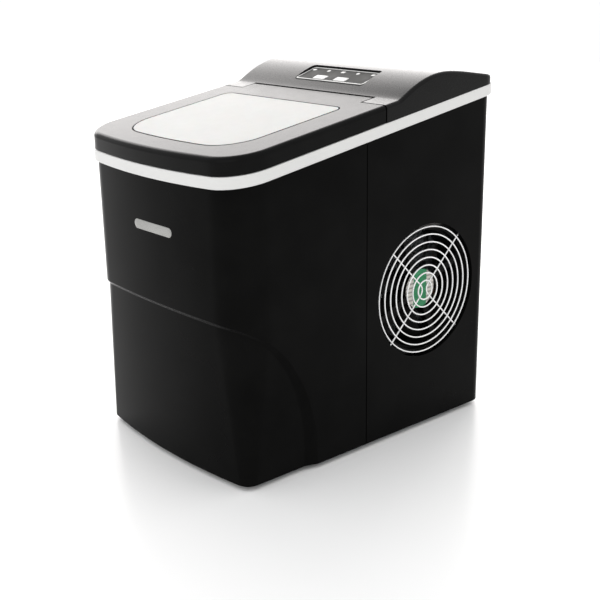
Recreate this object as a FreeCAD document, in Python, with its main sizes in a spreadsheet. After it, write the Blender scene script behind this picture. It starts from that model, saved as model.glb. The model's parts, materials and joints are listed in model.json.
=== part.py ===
import FreeCAD, Part
import math
import os
import re

import Sketcher
from FreeCAD import Placement, Rotation
from FreeCAD import Vector as V

# Countertop ice maker.  +Z up, front faces -Y, the fan side is +X.
# The origin is on the floor, in the middle of the outline.  Millimetres.

SIZES = (
    # overall outline
    ("trim_width", 242.0, "overall width, over the white band"),
    ("trim_depth", 328.0, "overall depth, over the white band"),
    ("front_bow", 11.07, "how far the front bows out over the full width"),
    ("front_corner", 38.0, "radius of the two front upright corners"),
    ("rear_corner", 13.6, "radius of the two rear upright corners"),
    ("trim_top", 307.46, "height of the band's top over the origin"),
    ("trim_slope", 0.1634, "rise of the band towards the rear, per unit of depth"),
    ("trim_height", 10.36, "height of the band"),
    ("trim_wall", 8.0, "thickness of the band"),
    ("ledge_width", 6.0, "ledge inside the band that carries the liner"),
    ("ledge_top", 3.0, "depth of the ledge's top under the band's top"),
    ("ledge_thick", 2.5, "thickness of the ledge"),
    ("trim_overhang", 2.54, "how far the band stands out past the housings"),
    # housings and base
    ("shell_wall", 2.5, "wall of the housings"),
    ("body_base", 5.0, "height of the housings' lower edge"),
    ("seam_depth", -7.03, "depth of the seam between front and rear housing"),
    ("seam_gap", 1.0, "width of that seam"),
    ("lip_reach", 6.0, "reach of the joggle lip under the front housing"),
    ("lip_wall", 1.5, "wall of the joggle lip"),
    ("recess_rise", 157.0, "height of the styled recess over the floor"),
    ("recess_back", 110.0, "half axis of the recess curve along the depth"),
    ("recess_foot", 15.0, "height where the recess curve turns upright"),
    ("recess_front", 20.0, "how far the recess curve's centre lies before the front"),
    ("recess_inset_top", 1.8, "inset of the recess at its top"),
    ("recess_inset_foot", 4.5, "inset of the recess at its foot"),
    ("foot_corner", 13.0, "radius of the front corners at the foot"),
    ("close_gap", 0.4, "gap between parts that lie inside each other"),
    ("pan_floor", 2.5, "floor of the base pan"),
    ("pan_rim", 5.5, "height of the base pan's rim over its floor"),
    ("pan_wall", 2.0, "wall of the base pan's rim"),
    ("foot_radius", 11.0, "radius of a rubber foot"),
    ("foot_taper", 1.5, "how much narrower a foot is at the floor"),
    ("foot_side", 86.0, "feet, distance from the middle plane"),
    ("foot_front", 44.0, "front feet, behind the band's front"),
    ("foot_rear", -32.0, "rear feet, before the band's rear (negative)"),
    ("case_screw", 1.5, "radius of a case screw"),
    ("case_screw_head", 3.4, "radius of a case screw's head"),
    ("case_screw_height", 1.6, "height of a case screw's head"),
    ("case_screw_length", 7.0, "length of a case screw's shank"),
    ("case_screw_side", 8.0, "case screws, outwards from the feet"),
    ("grille_rear_rise", 60.0, "rear air slots over the side ones"),
    ("grille_slot", 4.0, "height of an air slot"),
    ("grille_pitch", 9.0, "pitch of the air slots"),
    ("grille_low", 96.0, "height of the lowest air slot"),
    ("grille_length", 76.0, "length of an air slot"),
    # lid
    ("lid_gap", 0.6, "gap between the band and the lid"),
    ("lid_top", 15.8, "height of the lid's top over the band's top"),
    ("lid_inset", 0.8, "inset of the lid from the band's outline"),
    ("lid_edge", 4.5, "rounding of the lid's upper edge"),
    ("lid_rear", 13.9, "depth where the lid's shoulders end"),
    ("lid_skirt", 3.0, "wall of the lid's skirt"),
    ("lid_plate", 4.5, "thickness of the lid's top"),
    ("lid_floor", 2.0, "thickness of the lid's inner frame"),
    ("tongue_half", 86.9, "half width of the lid's rear tongue"),
    ("tongue_rear", 31.0, "depth of the tongue's rear edge"),
    ("window_half", 86.0, "half width of the window"),
    ("window_front", 25.5, "window's front edge, behind the band's front"),
    ("window_rear", -4.0, "depth of the window's rear edge"),
    ("window_front_corner", 38.0, "radius of the window's front corners"),
    ("window_rear_corner", 10.0, "radius of the window's rear corners"),
    ("window_thick", 3.0, "thickness of the window"),
    ("window_ledge", 4.0, "width of the ledge under the window"),
    ("window_gap", 0.5, "gap round the window"),
    ("hinge_depth", 27.5, "depth of the hinge axis"),
    ("hinge_drop", 4.0, "hinge axis under the lid's top"),
    ("hinge_barrel", 4.0, "radius of the hinge barrel"),
    ("hinge_pin", 2.5, "radius of a hinge pin"),
    ("pin_clearance", 0.06, "running clearance round pins and shafts"),
    ("hinge_pin_length", 11.5, "length of a hinge pin"),
    # control cover
    ("cover_front", 15.3, "depth of the cover's front edge"),
    ("slot_half", 88.3, "half width of the slot for the lid's tongue"),
    ("slot_rear", 32.6, "depth of that slot's rear wall"),
    ("ear_wall", 3.0, "wall between the slot and the cover's hollow"),
    ("cover_wall", 2.6, "wall of the control cover"),
    ("cover_edge", 3.5, "rounding of the cover's upper edges"),
    ("cover_rise_start", 31.0, "depth where the cover starts to rise"),
    ("cover_crest_depth", 86.0, "depth of the cover's crest"),
    ("cover_crest", 349.4, "height of the cover's crest"),
    ("cover_tail_depth", -8.0, "where the cover's top runs straight, before the band's rear (negative)"),
    ("cover_tail", 341.9, "height of the cover's top there"),
    # control panel
    ("panel_side", 8.0, "centre of the panel from the middle plane"),
    ("panel_depth", 58.5, "depth of the panel's centre"),
    ("panel_height", 341.4, "height of the panel's centre"),
    ("panel_tilt", 20.3, "tilt of the panel, degrees"),
    ("panel_width", 98.0, "width of the panel"),
    ("panel_length", 30.0, "length of the panel along its slope"),
    ("panel_corner", 4.0, "radius of the panel's corners"),
    ("panel_thick", 2.0, "thickness of the panel"),
    ("panel_ledge", 1.6, "width of the ledge under the panel"),
    ("panel_frame", 4.0, "width of the cover's thickening round the panel"),
    ("panel_frame_depth", 5.0, "underside of that thickening under the panel's face"),
    ("button_width", 16.5, "width of a button"),
    ("button_length", 8.0, "length of a button"),
    ("button_height", 3.6, "height of a button"),
    ("button_proud", 0.7, "how far a button stands out"),
    ("button_gap", 0.25, "gap round a button"),
    ("button_row", -7.6, "buttons' centre from the panel's centre, along its slope"),
    ("button_left", -17.0, "first button's centre from the panel's centre"),
    ("button_right", 12.5, "second button's centre from the panel's centre"),
    ("lens_width", 5.0, "width of an indicator lens"),
    ("lens_length", 3.4, "length of an indicator lens"),
    ("lens_pitch", 21.0, "pitch of the indicator lenses"),
    ("lens_row", 9.4, "lenses' centre from the panel's centre, along its slope"),
    ("board_thick", 1.6, "thickness of a circuit board"),
    ("board_level", 324.0, "height of the control board's underside"),
    ("board_side", -50.0, "control board's centre from the middle plane"),
    ("board_depth", -41.0, "control board's centre, before the band's rear (negative)"),
    ("boss_side", 35.0, "board bosses, across from the board's centre"),
    ("boss_depth", 21.0, "board bosses, along from the board's centre"),
    ("boss_radius", 3.0, "radius of a board boss"),
    ("board_margin", 6.0, "board's edge past its bosses"),
    ("board_drop", 6.0, "display board's top under the panel's face"),
    # badge
    ("badge_width", 58.0, "width of the plain badge"),
    ("badge_height", 9.0, "height of the badge"),
    ("badge_thick", 0.8, "thickness of the badge"),
    ("badge_side", 5.5, "centre of the badge from the middle plane"),
    ("badge_level", 225.0, "height of the badge's centre"),
    # tub
    ("tub_half", 92.0, "half width inside the tub"),
    ("tub_front", 22.0, "tub's inner front face, behind the band's front"),
    ("tub_rear", -8.0, "depth of the tub's inner rear face"),
    ("tub_corner", 15.0, "radius of the tub's inner corners"),
    ("tub_floor", 45.0, "height of the tub's inner floor"),
    ("tub_wall", 2.0, "wall of the tub"),
    ("deck_rear", 36.0, "depth where the tub's deck ends"),
    ("deck_thick", 2.6, "thickness of the deck"),
    ("foam_thick", 5.5, "thickness of the insulation"),
    ("foam_low", 60.0, "height of the insulation's lower edge"),
    ("foam_high", 222.0, "height of the insulation's upper edge"),
    ("foam_gap", 0.3, "gap between insulation and tub"),
    # basket and chute
    ("basket_half", -8.0, "basket's side, from the tub's side wall (negative inwards)"),
    ("basket_front", 5.0, "basket's front, behind the tub's front wall"),
    ("basket_rear", -76.2, "depth of the basket's rear"),
    ("basket_low", 88.3, "height of the basket's underside"),
    ("basket_high", 194.0, "height of the basket's rim"),
    ("basket_wall", 2.0, "wall of the basket"),
    ("basket_rim", 3.0, "width of the basket's rim"),
    ("rail_width", 9.5, "width of the tub's basket rails"),
    ("rail_height", 4.0, "height of the rails"),
    ("chute_rear_level", 215.0, "height of the chute at the rear"),
    ("chute_front_level", 197.0, "height of the chute at the front"),
    ("chute_front", -74.6, "depth of the chute's front edge"),
    ("chute_thick", 2.0, "thickness of the chute"),
    ("basket_slot", 4.0, "width of a drain slot in the basket's floor"),
    ("basket_slot_edge", 12.0, "first drain slot from the basket's side"),
    ("chute_slot", 7.0, "width of a slot in the chute"),
    ("chute_slot_pitch", 18.0, "pitch of the chute's slots"),
    # water tray and ice shovel
    ("tray_depth", -42.0, "depth of the tray's axis"),
    ("tray_level", 256.0, "height of the tray's axis"),
    ("tray_radius", 32.0, "outer radius of the tray's trough"),
    ("tray_wall", 2.0, "wall of the tray"),
    ("tray_half", -20.0, "tray's end, from the tub's side wall (negative inwards)"),
    ("tray_lip", 20.0, "the trough's lips lie this many degrees under its axis"),
    ("tray_lug", 8.0, "radius of the tray's lugs"),
    ("tray_shaft_radius", 3.0, "radius of the tray's shaft"),
    ("bush_radius", 6.0, "outer radius of a tray bush"),
    ("motor_radius", 24.5, "radius of the tray motor"),
    ("motor_thick", 15.0, "thickness of the tray motor"),
    ("shovel_depth", -12.5, "depth of the shovel's axis"),
    ("shovel_level", 238.0, "height of the shovel's axis"),
    ("shovel_rod", 2.0, "radius of the shovel's rod"),
    ("shovel_blade", 20.0, "length of the shovel's blade"),
    ("shovel_half", -28.0, "shovel blade's end, from the tub's side wall (negative inwards)"),
    ("shovel_thick", 2.0, "thickness of the shovel's blade"),
    ("notch_width", 5.0, "width of a notch in the shovel's blade"),
    ("notch_height", 8.0, "height of a notch"),
    ("notch_pitch", 18.0, "pitch of the notches"),
    # evaporator
    ("finger_radius", 5.0, "radius of a freezing finger"),
    ("finger_reach", 24.0, "fingers' tips under the tray's axis"),
    ("finger_row", 8.0, "finger rows from the tray's axis"),
    ("finger_pitch", -24.0, "pitch of the fingers, less than half the tub's half width (negative)"),
    ("finger_start", 46.0, "first finger, from the tub's left wall"),
    ("header_far", 34.0, "evaporator tube's left end, from the tub's left wall"),
    ("header_inlet", -48.0, "evaporator tube's inlet, from the tub's right wall (negative inwards)"),
    ("header_outlet", -34.0, "evaporator tube's outlet, from the tub's right wall (negative inwards)"),
    ("header_rise", 16.0, "evaporator tube over the tray's axis"),
    ("header_radius", 3.5, "radius of the evaporator tube"),
    ("header_exit", 289.0, "height where the evaporator tube leaves the tub"),
    # pipes, drier, valve
    ("pipe_level", 222.0, "height of the discharge pipe and the hot gas valve"),
    ("suction_level", 262.0, "height of the suction pipe"),
    ("suction_depth", 24.0, "depth of the suction pipe behind the tub"),
    ("drier_side", 24.0, "filter drier from the middle plane"),
    ("drier_depth", -14.0, "filter drier, before the band's rear (negative)"),
    ("drier_low", 104.0, "height of the drier's lower end"),
    ("drier_high", 168.0, "height of the drier's upper end"),
    ("drier_radius", 8.0, "radius of the drier"),
    ("drier_neck", 7.0, "length of the drier's cones"),
    ("valve_side", 20.0, "hot gas valve from the middle plane"),
    ("valve_depth", -35.0, "hot gas valve, before the compressor's axis (negative)"),
    ("valve_width", 18.0, "width of the valve's body"),
    ("valve_length", 24.0, "length and height of the valve's body"),
    ("coil_radius", 13.0, "radius of the valve's coil"),
    ("coil_length", 26.0, "length of the valve's coil"),
    # pump and float
    ("pump_side", -32.0, "pump's axis, from the tub's right wall (negative inwards)"),
    ("pump_depth", -31.0, "depth of the pump's axis"),
    ("pump_radius", 17.0, "radius of the pump"),
    ("pump_height", 36.0, "height of the pump"),
    ("pump_outlet", 22.0, "outlet stub from the pump's axis"),
    ("impeller_radius", 11.5, "radius of the impeller"),
    ("hose_radius", 4.0, "radius of the water hose"),
    ("hose_bore", 2.6, "bore of the water hose"),
    ("hose_level", 279.0, "height where the hose turns to the tray"),
    ("hose_reach", 15.0, "reach of the hose over the tray"),
    ("float_side", 22.0, "float's axis, from the tub's left wall"),
    ("float_depth", -26.0, "depth of the float's axis"),
    ("float_radius", 10.0, "radius of the float"),
    ("float_height", 12.0, "height of the float"),
    # cooling plant
    ("compressor_side", -50.0, "compressor's axis from the middle plane"),
    ("compressor_depth", -69.0, "compressor's axis, before the band's rear (negative)"),
    ("compressor_radius", 47.0, "radius of the compressor's can"),
    ("compressor_low", 24.0, "height of the can's underside"),
    ("compressor_high", 146.0, "height of the can's crown"),
    ("compressor_edge", 18.0, "rounding of the can's ends"),
    ("plate_width", 100.0, "width of the compressor's foot plate"),
    ("plate_thick", 3.0, "thickness of the foot plate"),
    ("plate_corner", 8.0, "radius of the foot plate's corners"),
    ("mount_spread", 44.0, "compressor's mounts from its axis"),
    ("stub_spread", 20.0, "compressor's stubs from its axis"),
    ("grommet_radius", 7.5, "radius of a grommet"),
    ("grommet_neck", 4.5, "radius of a grommet's neck"),
    ("bolt_radius", 2.5, "radius of a mounting bolt"),
    ("bolt_head", 6.5, "radius of a mounting bolt's head"),
    ("transformer_side", 8.0, "left face of the transformer's core"),
    ("transformer_depth", -64.0, "front face of its core, before the band's rear (negative)"),
    ("condenser_side", 63.0, "condenser's plane from the middle plane"),
    ("condenser_front", 14.0, "depth of the condenser's front plate"),
    ("condenser_rear", -30.0, "condenser's rear plate, before the band's rear (negative)"),
    ("condenser_low", 92.0, "height of the lowest tube run"),
    ("condenser_pitch", 20.0, "pitch of the tube runs"),
    ("condenser_half", 13.0, "half thickness of the fin pack"),
    ("condenser_tube", 3.5, "radius of the condenser tube"),
    ("fin_pitch", 6.0, "pitch of the fins"),
    ("fin_thick", 0.6, "thickness of a fin"),
    # fan
    ("fan_depth", 6.65, "fan's axis, behind the middle of the condenser's rear plate's depth"),
    ("fan_level", 142.35, "height of the fan's axis"),
    ("fan_hole", 66.0, "radius of the hole in the side panel"),
    ("fan_half", 61.0, "half width of the fan's frame"),
    ("fan_inner", 84.0, "inner face of the fan's frame from the middle plane"),
    ("fan_outer", 109.0, "outer face of the fan's frame"),
    ("fan_bore", 58.0, "radius of the fan's bore"),
    ("fan_hub", 20.0, "radius of the fan's hub"),
    ("fan_blade", 56.0, "radius of the blades' tips"),
    ("fan_blades", 7.0, "number of blades"),
    ("blade_chord", 14.5, "width of a blade"),
    ("blade_pitch", 52.0, "pitch of the blades, degrees"),
    ("strut_width", 7.0, "width of the fan frame's struts"),
    ("strut_thick", 4.0, "thickness of the struts"),
    ("fan_screw_spread", 52.5, "fan screws from the fan's axis, across and up"),
    ("fan_screw", 2.0, "radius of a fan screw"),
    ("fan_screw_head", 4.0, "radius of a fan screw's head"),
    ("shroud_rim", 2.2, "clearance between the fan hole and the shroud's rim"),
    ("shroud_rim_wall", 3.8, "wall of the shroud's rim"),
    ("fan_shaft", 2.0, "radius of the fan's shaft"),
    ("shroud_outer", 113.9, "outer face of the shroud"),
    ("guard_plane", 115.8, "plane of the guard's rings"),
    ("guard_radius", 62.5, "radius of the largest ring"),
    ("guard_pitch", 7.57, "pitch of the rings"),
    ("guard_wire", 0.9, "radius of the guard's wire"),
    ("guard_step", 0.8, "V wires' plane under the rings' plane"),
    ("guard_bend", 8.0, "bend radius of the two V wires"),
    ("guard_reach", 65.6, "radius where the V wires end"),
    ("guard_apex", 3.0, "V wires' apexes from the fan's axis"),
    # gland and drain
    ("gland_side", -85.0, "cord gland from the middle plane"),
    ("gland_level", 40.0, "height of the cord gland"),
    ("gland_hole", 8.0, "radius of the gland's hole"),
    ("gland_bore", 3.6, "radius of the gland's bore"),
    ("gland_flange", 10.0, "radius of the gland's flange"),
    ("drain_depth", 54.0, "drain, behind the band's front"),
    ("drain_side", 22.0, "drain hole in the tub's floor, from the tub's left wall"),
    ("drain_level", 23.0, "height of the drain tube"),
    ("drain_radius", 6.0, "outer radius of the drain tube"),
    ("drain_bore", 4.4, "bore of the drain tube"),
    ("drain_cap", 9.0, "radius of the drain plug's cap"),
)

# Places that are measured from another size: the size, and the share of it that is the datum.
DATUMS = {
    "foot_front": ("trim_depth", -0.5),
    "foot_rear": ("trim_depth", 0.5),
    "window_front": ("trim_depth", -0.5),
    "cover_tail_depth": ("trim_depth", 0.5),
    "board_depth": ("trim_depth", 0.5),
    "tub_front": ("trim_depth", -0.5),
    "basket_front": ("tub_front", 1.0),
    "basket_half": ("tub_half", 1.0),
    "tray_half": ("tub_half", 1.0),
    "shovel_half": ("tub_half", 1.0),
    "pump_side": ("tub_half", 1.0),
    "float_side": ("tub_half", -1.0),
    "drain_side": ("tub_half", -1.0),
    "drain_depth": ("trim_depth", -0.5),
    "drier_depth": ("trim_depth", 0.5),
    "compressor_depth": ("trim_depth", 0.5),
    "transformer_depth": ("trim_depth", 0.5),
    "condenser_rear": ("trim_depth", 0.5),
    "fan_depth": ("condenser_rear", 0.5),
    "valve_depth": ("compressor_depth", 1.0),
    "finger_pitch": ("tub_half", 0.5),
    "finger_start": ("tub_half", -1.0),
    "header_far": ("tub_half", -1.0),
    "header_inlet": ("tub_half", 1.0),
    "header_outlet": ("tub_half", 1.0),
}

doc = FreeCAD.newDocument("ice_maker")
sheet = doc.addObject("Spreadsheet::Sheet", "Sizes")
NAMES = set()


def fill_sheet():
    """Put every driving size in the sheet, one row each."""
    for row, (name, value, note) in enumerate(SIZES, start=1):
        sheet.set("A%d" % row, name)
        sheet.set("B%d" % row, str(value))
        sheet.setAlias("B%d" % row, name)
        sheet.set("C%d" % row, note)
        NAMES.add(name)
    doc.recompute()


class Sizes:
    """Reads a size from the sheet as a number, with its datum added."""

    def __getattr__(self, name):
        value = float(sheet.get(name))
        if name in DATUMS:
            other, share = DATUMS[name]
            value += share * getattr(self, other)
        return value


mm = Sizes()
fill_sheet()

# Places that follow from the driving sizes, as formulas for the sheet's expressions.
BODY_REAR = "(trim_depth / 2 - trim_overhang)"
PAN_TOP = "(body_base + pan_floor)"


def cell(name):
    """A size as the sheet's cell, with its datum added."""
    if name not in DATUMS:
        return "Sizes." + name
    other, share = DATUMS[name]
    return "(Sizes.%s + %s * %s)" % (name, share, cell(other))


def formula(text):
    """Put the sheet's cells in a formula for the sizes that it names."""
    def replace(match):
        word = match.group(0)
        return cell(word) if word in NAMES else word

    return re.sub(r"[a-z][a-z0-9_]*", replace, text)


def bind(item, **sizes):
    """Bind an object's properties to formulas."""
    for prop, text in sizes.items():
        item.setExpression(prop, formula(text))


def seat(item, x, y, z, turn=None):
    """Place an object at three formulas, with an optional fixed turn."""
    item.Placement = Placement(V(0, 0, 0), turn or Rotation())
    bind(item, **{"Placement.Base.x": x, "Placement.Base.y": y, "Placement.Base.z": z})
    return item


# ---------------------------------------------------------------- primitives and booleans

ALONG_X = Rotation(V(0, 1, 0), 90)
ALONG_Y = Rotation(V(1, 0, 0), -90)


def box(name, low, size):
    """A block from its low corner and its three sizes."""
    item = doc.addObject("Part::Box", name)
    bind(item, Length=size[0], Width=size[1], Height=size[2])
    return seat(item, *low)


def rod(name, radius, length, base, turn=None):
    """A round bar: along Z, or along X or Y with a turn."""
    item = doc.addObject("Part::Cylinder", name)
    bind(item, Radius=radius, Height=length)
    return seat(item, *base, turn)


def fuse(name, pieces):
    item = doc.addObject("Part::MultiFuse", name)
    item.Shapes = pieces
    item.Refine = False
    return item


def cut(name, base, tools):
    item = doc.addObject("Part::Cut", name)
    item.Base = base
    item.Tool = tools[0] if len(tools) == 1 else fuse(name + "_tools", tools)
    return item


def group(name, pieces):
    """Like pieces that share one node as separate solids."""
    item = doc.addObject("Part::Compound", name)
    item.Links = pieces
    return item


def plain(name, shape):
    """A sub-part whose shape comes from the sizes by Part's own functions."""
    item = doc.addObject("Part::Feature", name)
    item.Shape = shape
    return item


# ---------------------------------------------------------------- sketches and bodies


def origin_plane(body, role):
    for feature in body.Origin.OriginFeatures:
        if feature.Role == role:
            return feature


def sketch(body, name, role, offset="0"):
    """A sketch on one of the body's own origin planes, shifted along its normal."""
    item = body.newObject("Sketcher::SketchObject", name)
    item.AttachmentSupport = [(origin_plane(body, role), "")]
    item.MapMode = "FlatFace"
    item.setExpression("AttachmentOffset.Base.z", formula(offset))
    return item


def fix_point(item, geo, pos, u, v):
    """Hold a sketch point at two formulas from the origin."""
    for kind, text in (("DistanceX", u), ("DistanceY", v)):
        index = item.addConstraint(Sketcher.Constraint(kind, -1, 1, geo, pos, 1.0))
        item.setExpression("Constraints[%d]" % index, formula(text))


def polygon(item, points, start):
    """A closed run of lines through the points, whose rough places are in start."""
    first = item.GeometryCount
    count = len(points)
    for index in range(count):
        a = V(*start[index], 0)
        b = V(*start[(index + 1) % count], 0)
        item.addGeometry(Part.LineSegment(a, b), False)
    for index in range(count):
        following = first + (index + 1) % count
        item.addConstraint(Sketcher.Constraint("Coincident", first + index, 2, following, 1))
    for index, (u, v) in enumerate(points):
        fix_point(item, first + index, 1, u, v)


def rectangle(item, u, v, width, height):
    """A rectangle centred at two formulas."""
    left = "(%s) - (%s) / 2" % (u, width)
    right = "(%s) + (%s) / 2" % (u, width)
    low = "(%s) - (%s) / 2" % (v, height)
    high = "(%s) + (%s) / 2" % (v, height)
    corners = [(left, low), (right, low), (right, high), (left, high)]
    polygon(item, corners, [(-1, -1), (1, -1), (1, 1), (-1, 1)])


def circle(item, u, v, radius):
    """A circle at two formulas."""
    geo = item.addGeometry(Part.Circle(V(1, 1, 0), V(0, 0, 1), 1), False)
    index = item.addConstraint(Sketcher.Constraint("Radius", geo, 1.0))
    item.setExpression("Constraints[%d]" % index, formula(radius))
    fix_point(item, geo, 3, u, v)


def feature(body, kind, name, profile, **sizes):
    """A PartDesign feature on a sketch, with its sizes bound."""
    item = body.newObject("PartDesign::" + kind, name)
    item.Profile = profile
    bind(item, **sizes)
    return item


def new_body(name):
    return doc.addObject("PartDesign::Body", name)


# ---------------------------------------------------------------- outlines

FAR = 400.0
GRILLE_ROWS = 10
LIP_FIT = 0.3
LIP_ROOT = 8.0


def plan_wire(half, front, rear, bow, front_corner, rear_corner, level=0.0):
    """Closed outline in plan: bowed front of radius bow, straight sides and rear, four round corners."""
    centre = front + bow
    corner_x = half - front_corner
    corner_y = centre - math.sqrt((bow - front_corner) ** 2 - corner_x ** 2)
    reach = bow / (bow - front_corner)
    join = V(corner_x * reach, centre + (corner_y - centre) * reach, level)
    out = V(corner_x, corner_y - centre, 0).normalize() + V(1, 0, 0)
    middle = V(corner_x, corner_y, level) + out.normalize() * front_corner
    rear_middle = rear_corner * math.sqrt(0.5)
    side = V(half, corner_y, level)
    back = V(half, rear - rear_corner, level)
    turn = V(half - rear_corner + rear_middle, rear - rear_corner + rear_middle, level)
    last = V(half - rear_corner, rear, level)

    def flip(point):
        return V(-point.x, point.y, point.z)

    edges = [
        Part.Arc(flip(join), V(0, front, level), join).toShape(),
        Part.Arc(join, middle, side).toShape(),
        Part.makeLine(side, back),
        Part.Arc(back, turn, last).toShape(),
        Part.makeLine(last, flip(last)),
        Part.Arc(flip(last), flip(turn), flip(back)).toShape(),
        Part.makeLine(flip(back), flip(side)),
        Part.Arc(flip(side), flip(middle), flip(join)).toShape(),
    ]
    return Part.Wire(edges)


def bow_radius():
    half = mm.trim_width / 2
    return (half ** 2 + mm.front_bow ** 2) / (2 * mm.front_bow)


def body_wire(inset, front_corner, rear_corner, level=0.0):
    """The object's own outline, moved inwards by inset."""
    return plan_wire(
        mm.trim_width / 2 - inset,
        -mm.trim_depth / 2 + inset,
        mm.trim_depth / 2 - inset,
        bow_radius() - inset,
        front_corner,
        rear_corner,
        level,
    )


def prism(wire, low, high):
    solid = Part.Face(wire).extrude(V(0, 0, high - low))
    solid.translate(V(0, 0, low))
    return solid


def body_prism(inset, low=0.0, high=FAR, shrink=0.0):
    """Upright block on the object's outline; shrink makes the corners parallel."""
    return prism(body_wire(inset, mm.front_corner - shrink, mm.rear_corner - shrink), low, high)


def side_block(points, half=FAR):
    """A block across the full width from its outline (depth, height) seen from the side."""
    loop = [V(-half, y, z) for y, z in points]
    return Part.Face(Part.makePolygon(loop + loop[:1])).extrude(V(2 * half, 0, 0))


def slab(low, high):
    """Layer between two planes that rise to the rear with the band, measured from the band's top."""
    def level(y, offset):
        return mm.trim_top + mm.trim_slope * y + offset

    lower = [(y, level(y, low)) for y in (-FAR, FAR)]
    upper = [(y, level(y, high)) for y in (FAR, -FAR)]
    return side_block(lower + upper)


def depth_block(front, rear, low=-50.0, high=FAR):
    return side_block([(front, low), (rear, low), (rear, high), (front, high)])


def window_prism(shrink):
    """Upright block on the lid window's outline, moved inwards by shrink."""
    wire = plan_wire(
        mm.window_half - shrink,
        mm.window_front + shrink,
        mm.window_rear - shrink,
        bow_radius() - shrink,
        mm.window_front_corner - shrink,
        mm.window_rear_corner - shrink,
    )
    return prism(wire, 0, FAR)


def tub_prism(grow, low, high):
    """Upright block on the tub's inner outline, moved outwards by grow."""
    half = mm.tub_half + grow
    front = mm.tub_front - grow
    rear = mm.tub_rear + grow
    block = Part.makeBox(2 * half, rear - front, high - low, V(-half, front, low))
    uprights = [e for e in block.Edges if abs(e.Vertexes[0].Z - e.Vertexes[1].Z) > 1]
    return block.makeFillet(mm.tub_corner + grow, uprights)


# ---------------------------------------------------------------- housings and base


def recess_zone(shrink):
    """The space before the recess curve: a quarter ellipse seen from the side, upright under its foot."""
    centre_y = -mm.trim_depth / 2 + mm.trim_overhang - mm.recess_front
    centre = V(-FAR, centre_y, mm.recess_foot)
    rise = mm.recess_rise - mm.recess_foot + shrink
    back = mm.recess_back + shrink
    if rise > back:
        ellipse = Part.Ellipse(centre + V(0, 0, rise), centre + V(0, back, 0), centre)
    else:
        ellipse = Part.Ellipse(centre + V(0, back, 0), centre + V(0, 0, rise), centre)
    foot = centre + V(0, back, 0)
    top = centre + V(0, 0, rise)
    low, high = sorted((ellipse.parameter(foot), ellipse.parameter(top)))
    if high - low > math.pi:
        low, high = high, low + 2 * math.pi
    arc = ellipse.toShape(low, high)
    below = -60.0
    corners = [foot, V(-FAR, foot.y, below), V(-FAR, -FAR, below), V(-FAR, -FAR, top.z), top]
    lines = [Part.makeLine(start, end) for start, end in zip(corners, corners[1:])]
    wire = Part.Wire(Part.__sortEdges__([arc] + lines))
    return Part.Face(wire).extrude(V(2 * FAR, 0, 0))


def recess_wire(level, shrink):
    """Outline of the recess at a level: its inset grows and its corners tighten towards the foot."""
    share = (mm.recess_rise - level) / (mm.recess_rise - mm.body_base)
    inset = mm.trim_overhang + mm.recess_inset_top + share * (mm.recess_inset_foot - mm.recess_inset_top)
    corner = mm.front_corner + share * (mm.foot_corner - mm.front_corner)
    return body_wire(inset + shrink, corner - shrink, mm.rear_corner - shrink, level)


def envelope(shrink, low=None):
    """The housings' outer form, moved inwards by shrink."""
    base = mm.body_base if low is None else low
    zone = recess_zone(shrink)
    upper = body_prism(mm.trim_overhang + shrink, base, 340, shrink)
    top = mm.recess_rise + shrink + 1
    lower = Part.makeLoft([recess_wire(base, shrink), recess_wire(top, shrink)], True, True)
    return upper.cut(zone).fuse(lower.common(zone))


def under_band(solid):
    """Cut a housing off under the band."""
    return solid.cut(slab(-mm.trim_height, 200))


def side_hole(radius, depth, level, side):
    """A round hole through the side wall; side is 1 or -1."""
    outside = 15.0
    start = V(side * (mm.trim_width / 2 + outside), depth, level)
    return Part.makeCylinder(radius, 2 * outside, start, V(-side, 0, 0))


def make_front_housing():
    shell = envelope(0).cut(envelope(mm.shell_wall, -10))
    shell = under_band(shell).common(depth_block(-FAR, mm.seam_depth - mm.seam_gap / 2))
    hole = side_hole(mm.drain_cap + mm.close_gap, mm.drain_depth, mm.drain_level, -1)
    plain("front_housing", shell.cut(hole))


def grille_slots():
    """Air slots in the left wall and in the rear wall."""
    slots = []
    reach = 15.0
    for row in range(GRILLE_ROWS):
        level = mm.grille_low + row * mm.grille_pitch
        left = V(-mm.trim_width / 2 - reach / 3, mm.fan_depth - mm.grille_length / 2, level)
        slots.append(Part.makeBox(reach, mm.grille_length, mm.grille_slot, left))
        rear = V(-mm.grille_length, mm.trim_depth / 2 - reach * 2 / 3, level + mm.grille_rear_rise)
        slots.append(Part.makeBox(2 * mm.grille_length, reach, mm.grille_slot, rear))
    return slots


def case_screw_places():
    level = mm.body_base + mm.pan_floor + mm.pan_rim / 2
    return [(side * (mm.foot_side + mm.case_screw_side), level) for side in (-1, 1)]


def rear_hole(radius, side, level, length):
    """A round hole of this length, from just behind the rear wall forwards."""
    return Part.makeCylinder(radius, length, V(side, mm.trim_depth / 2 + 5, level), V(0, -1, 0))


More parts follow.
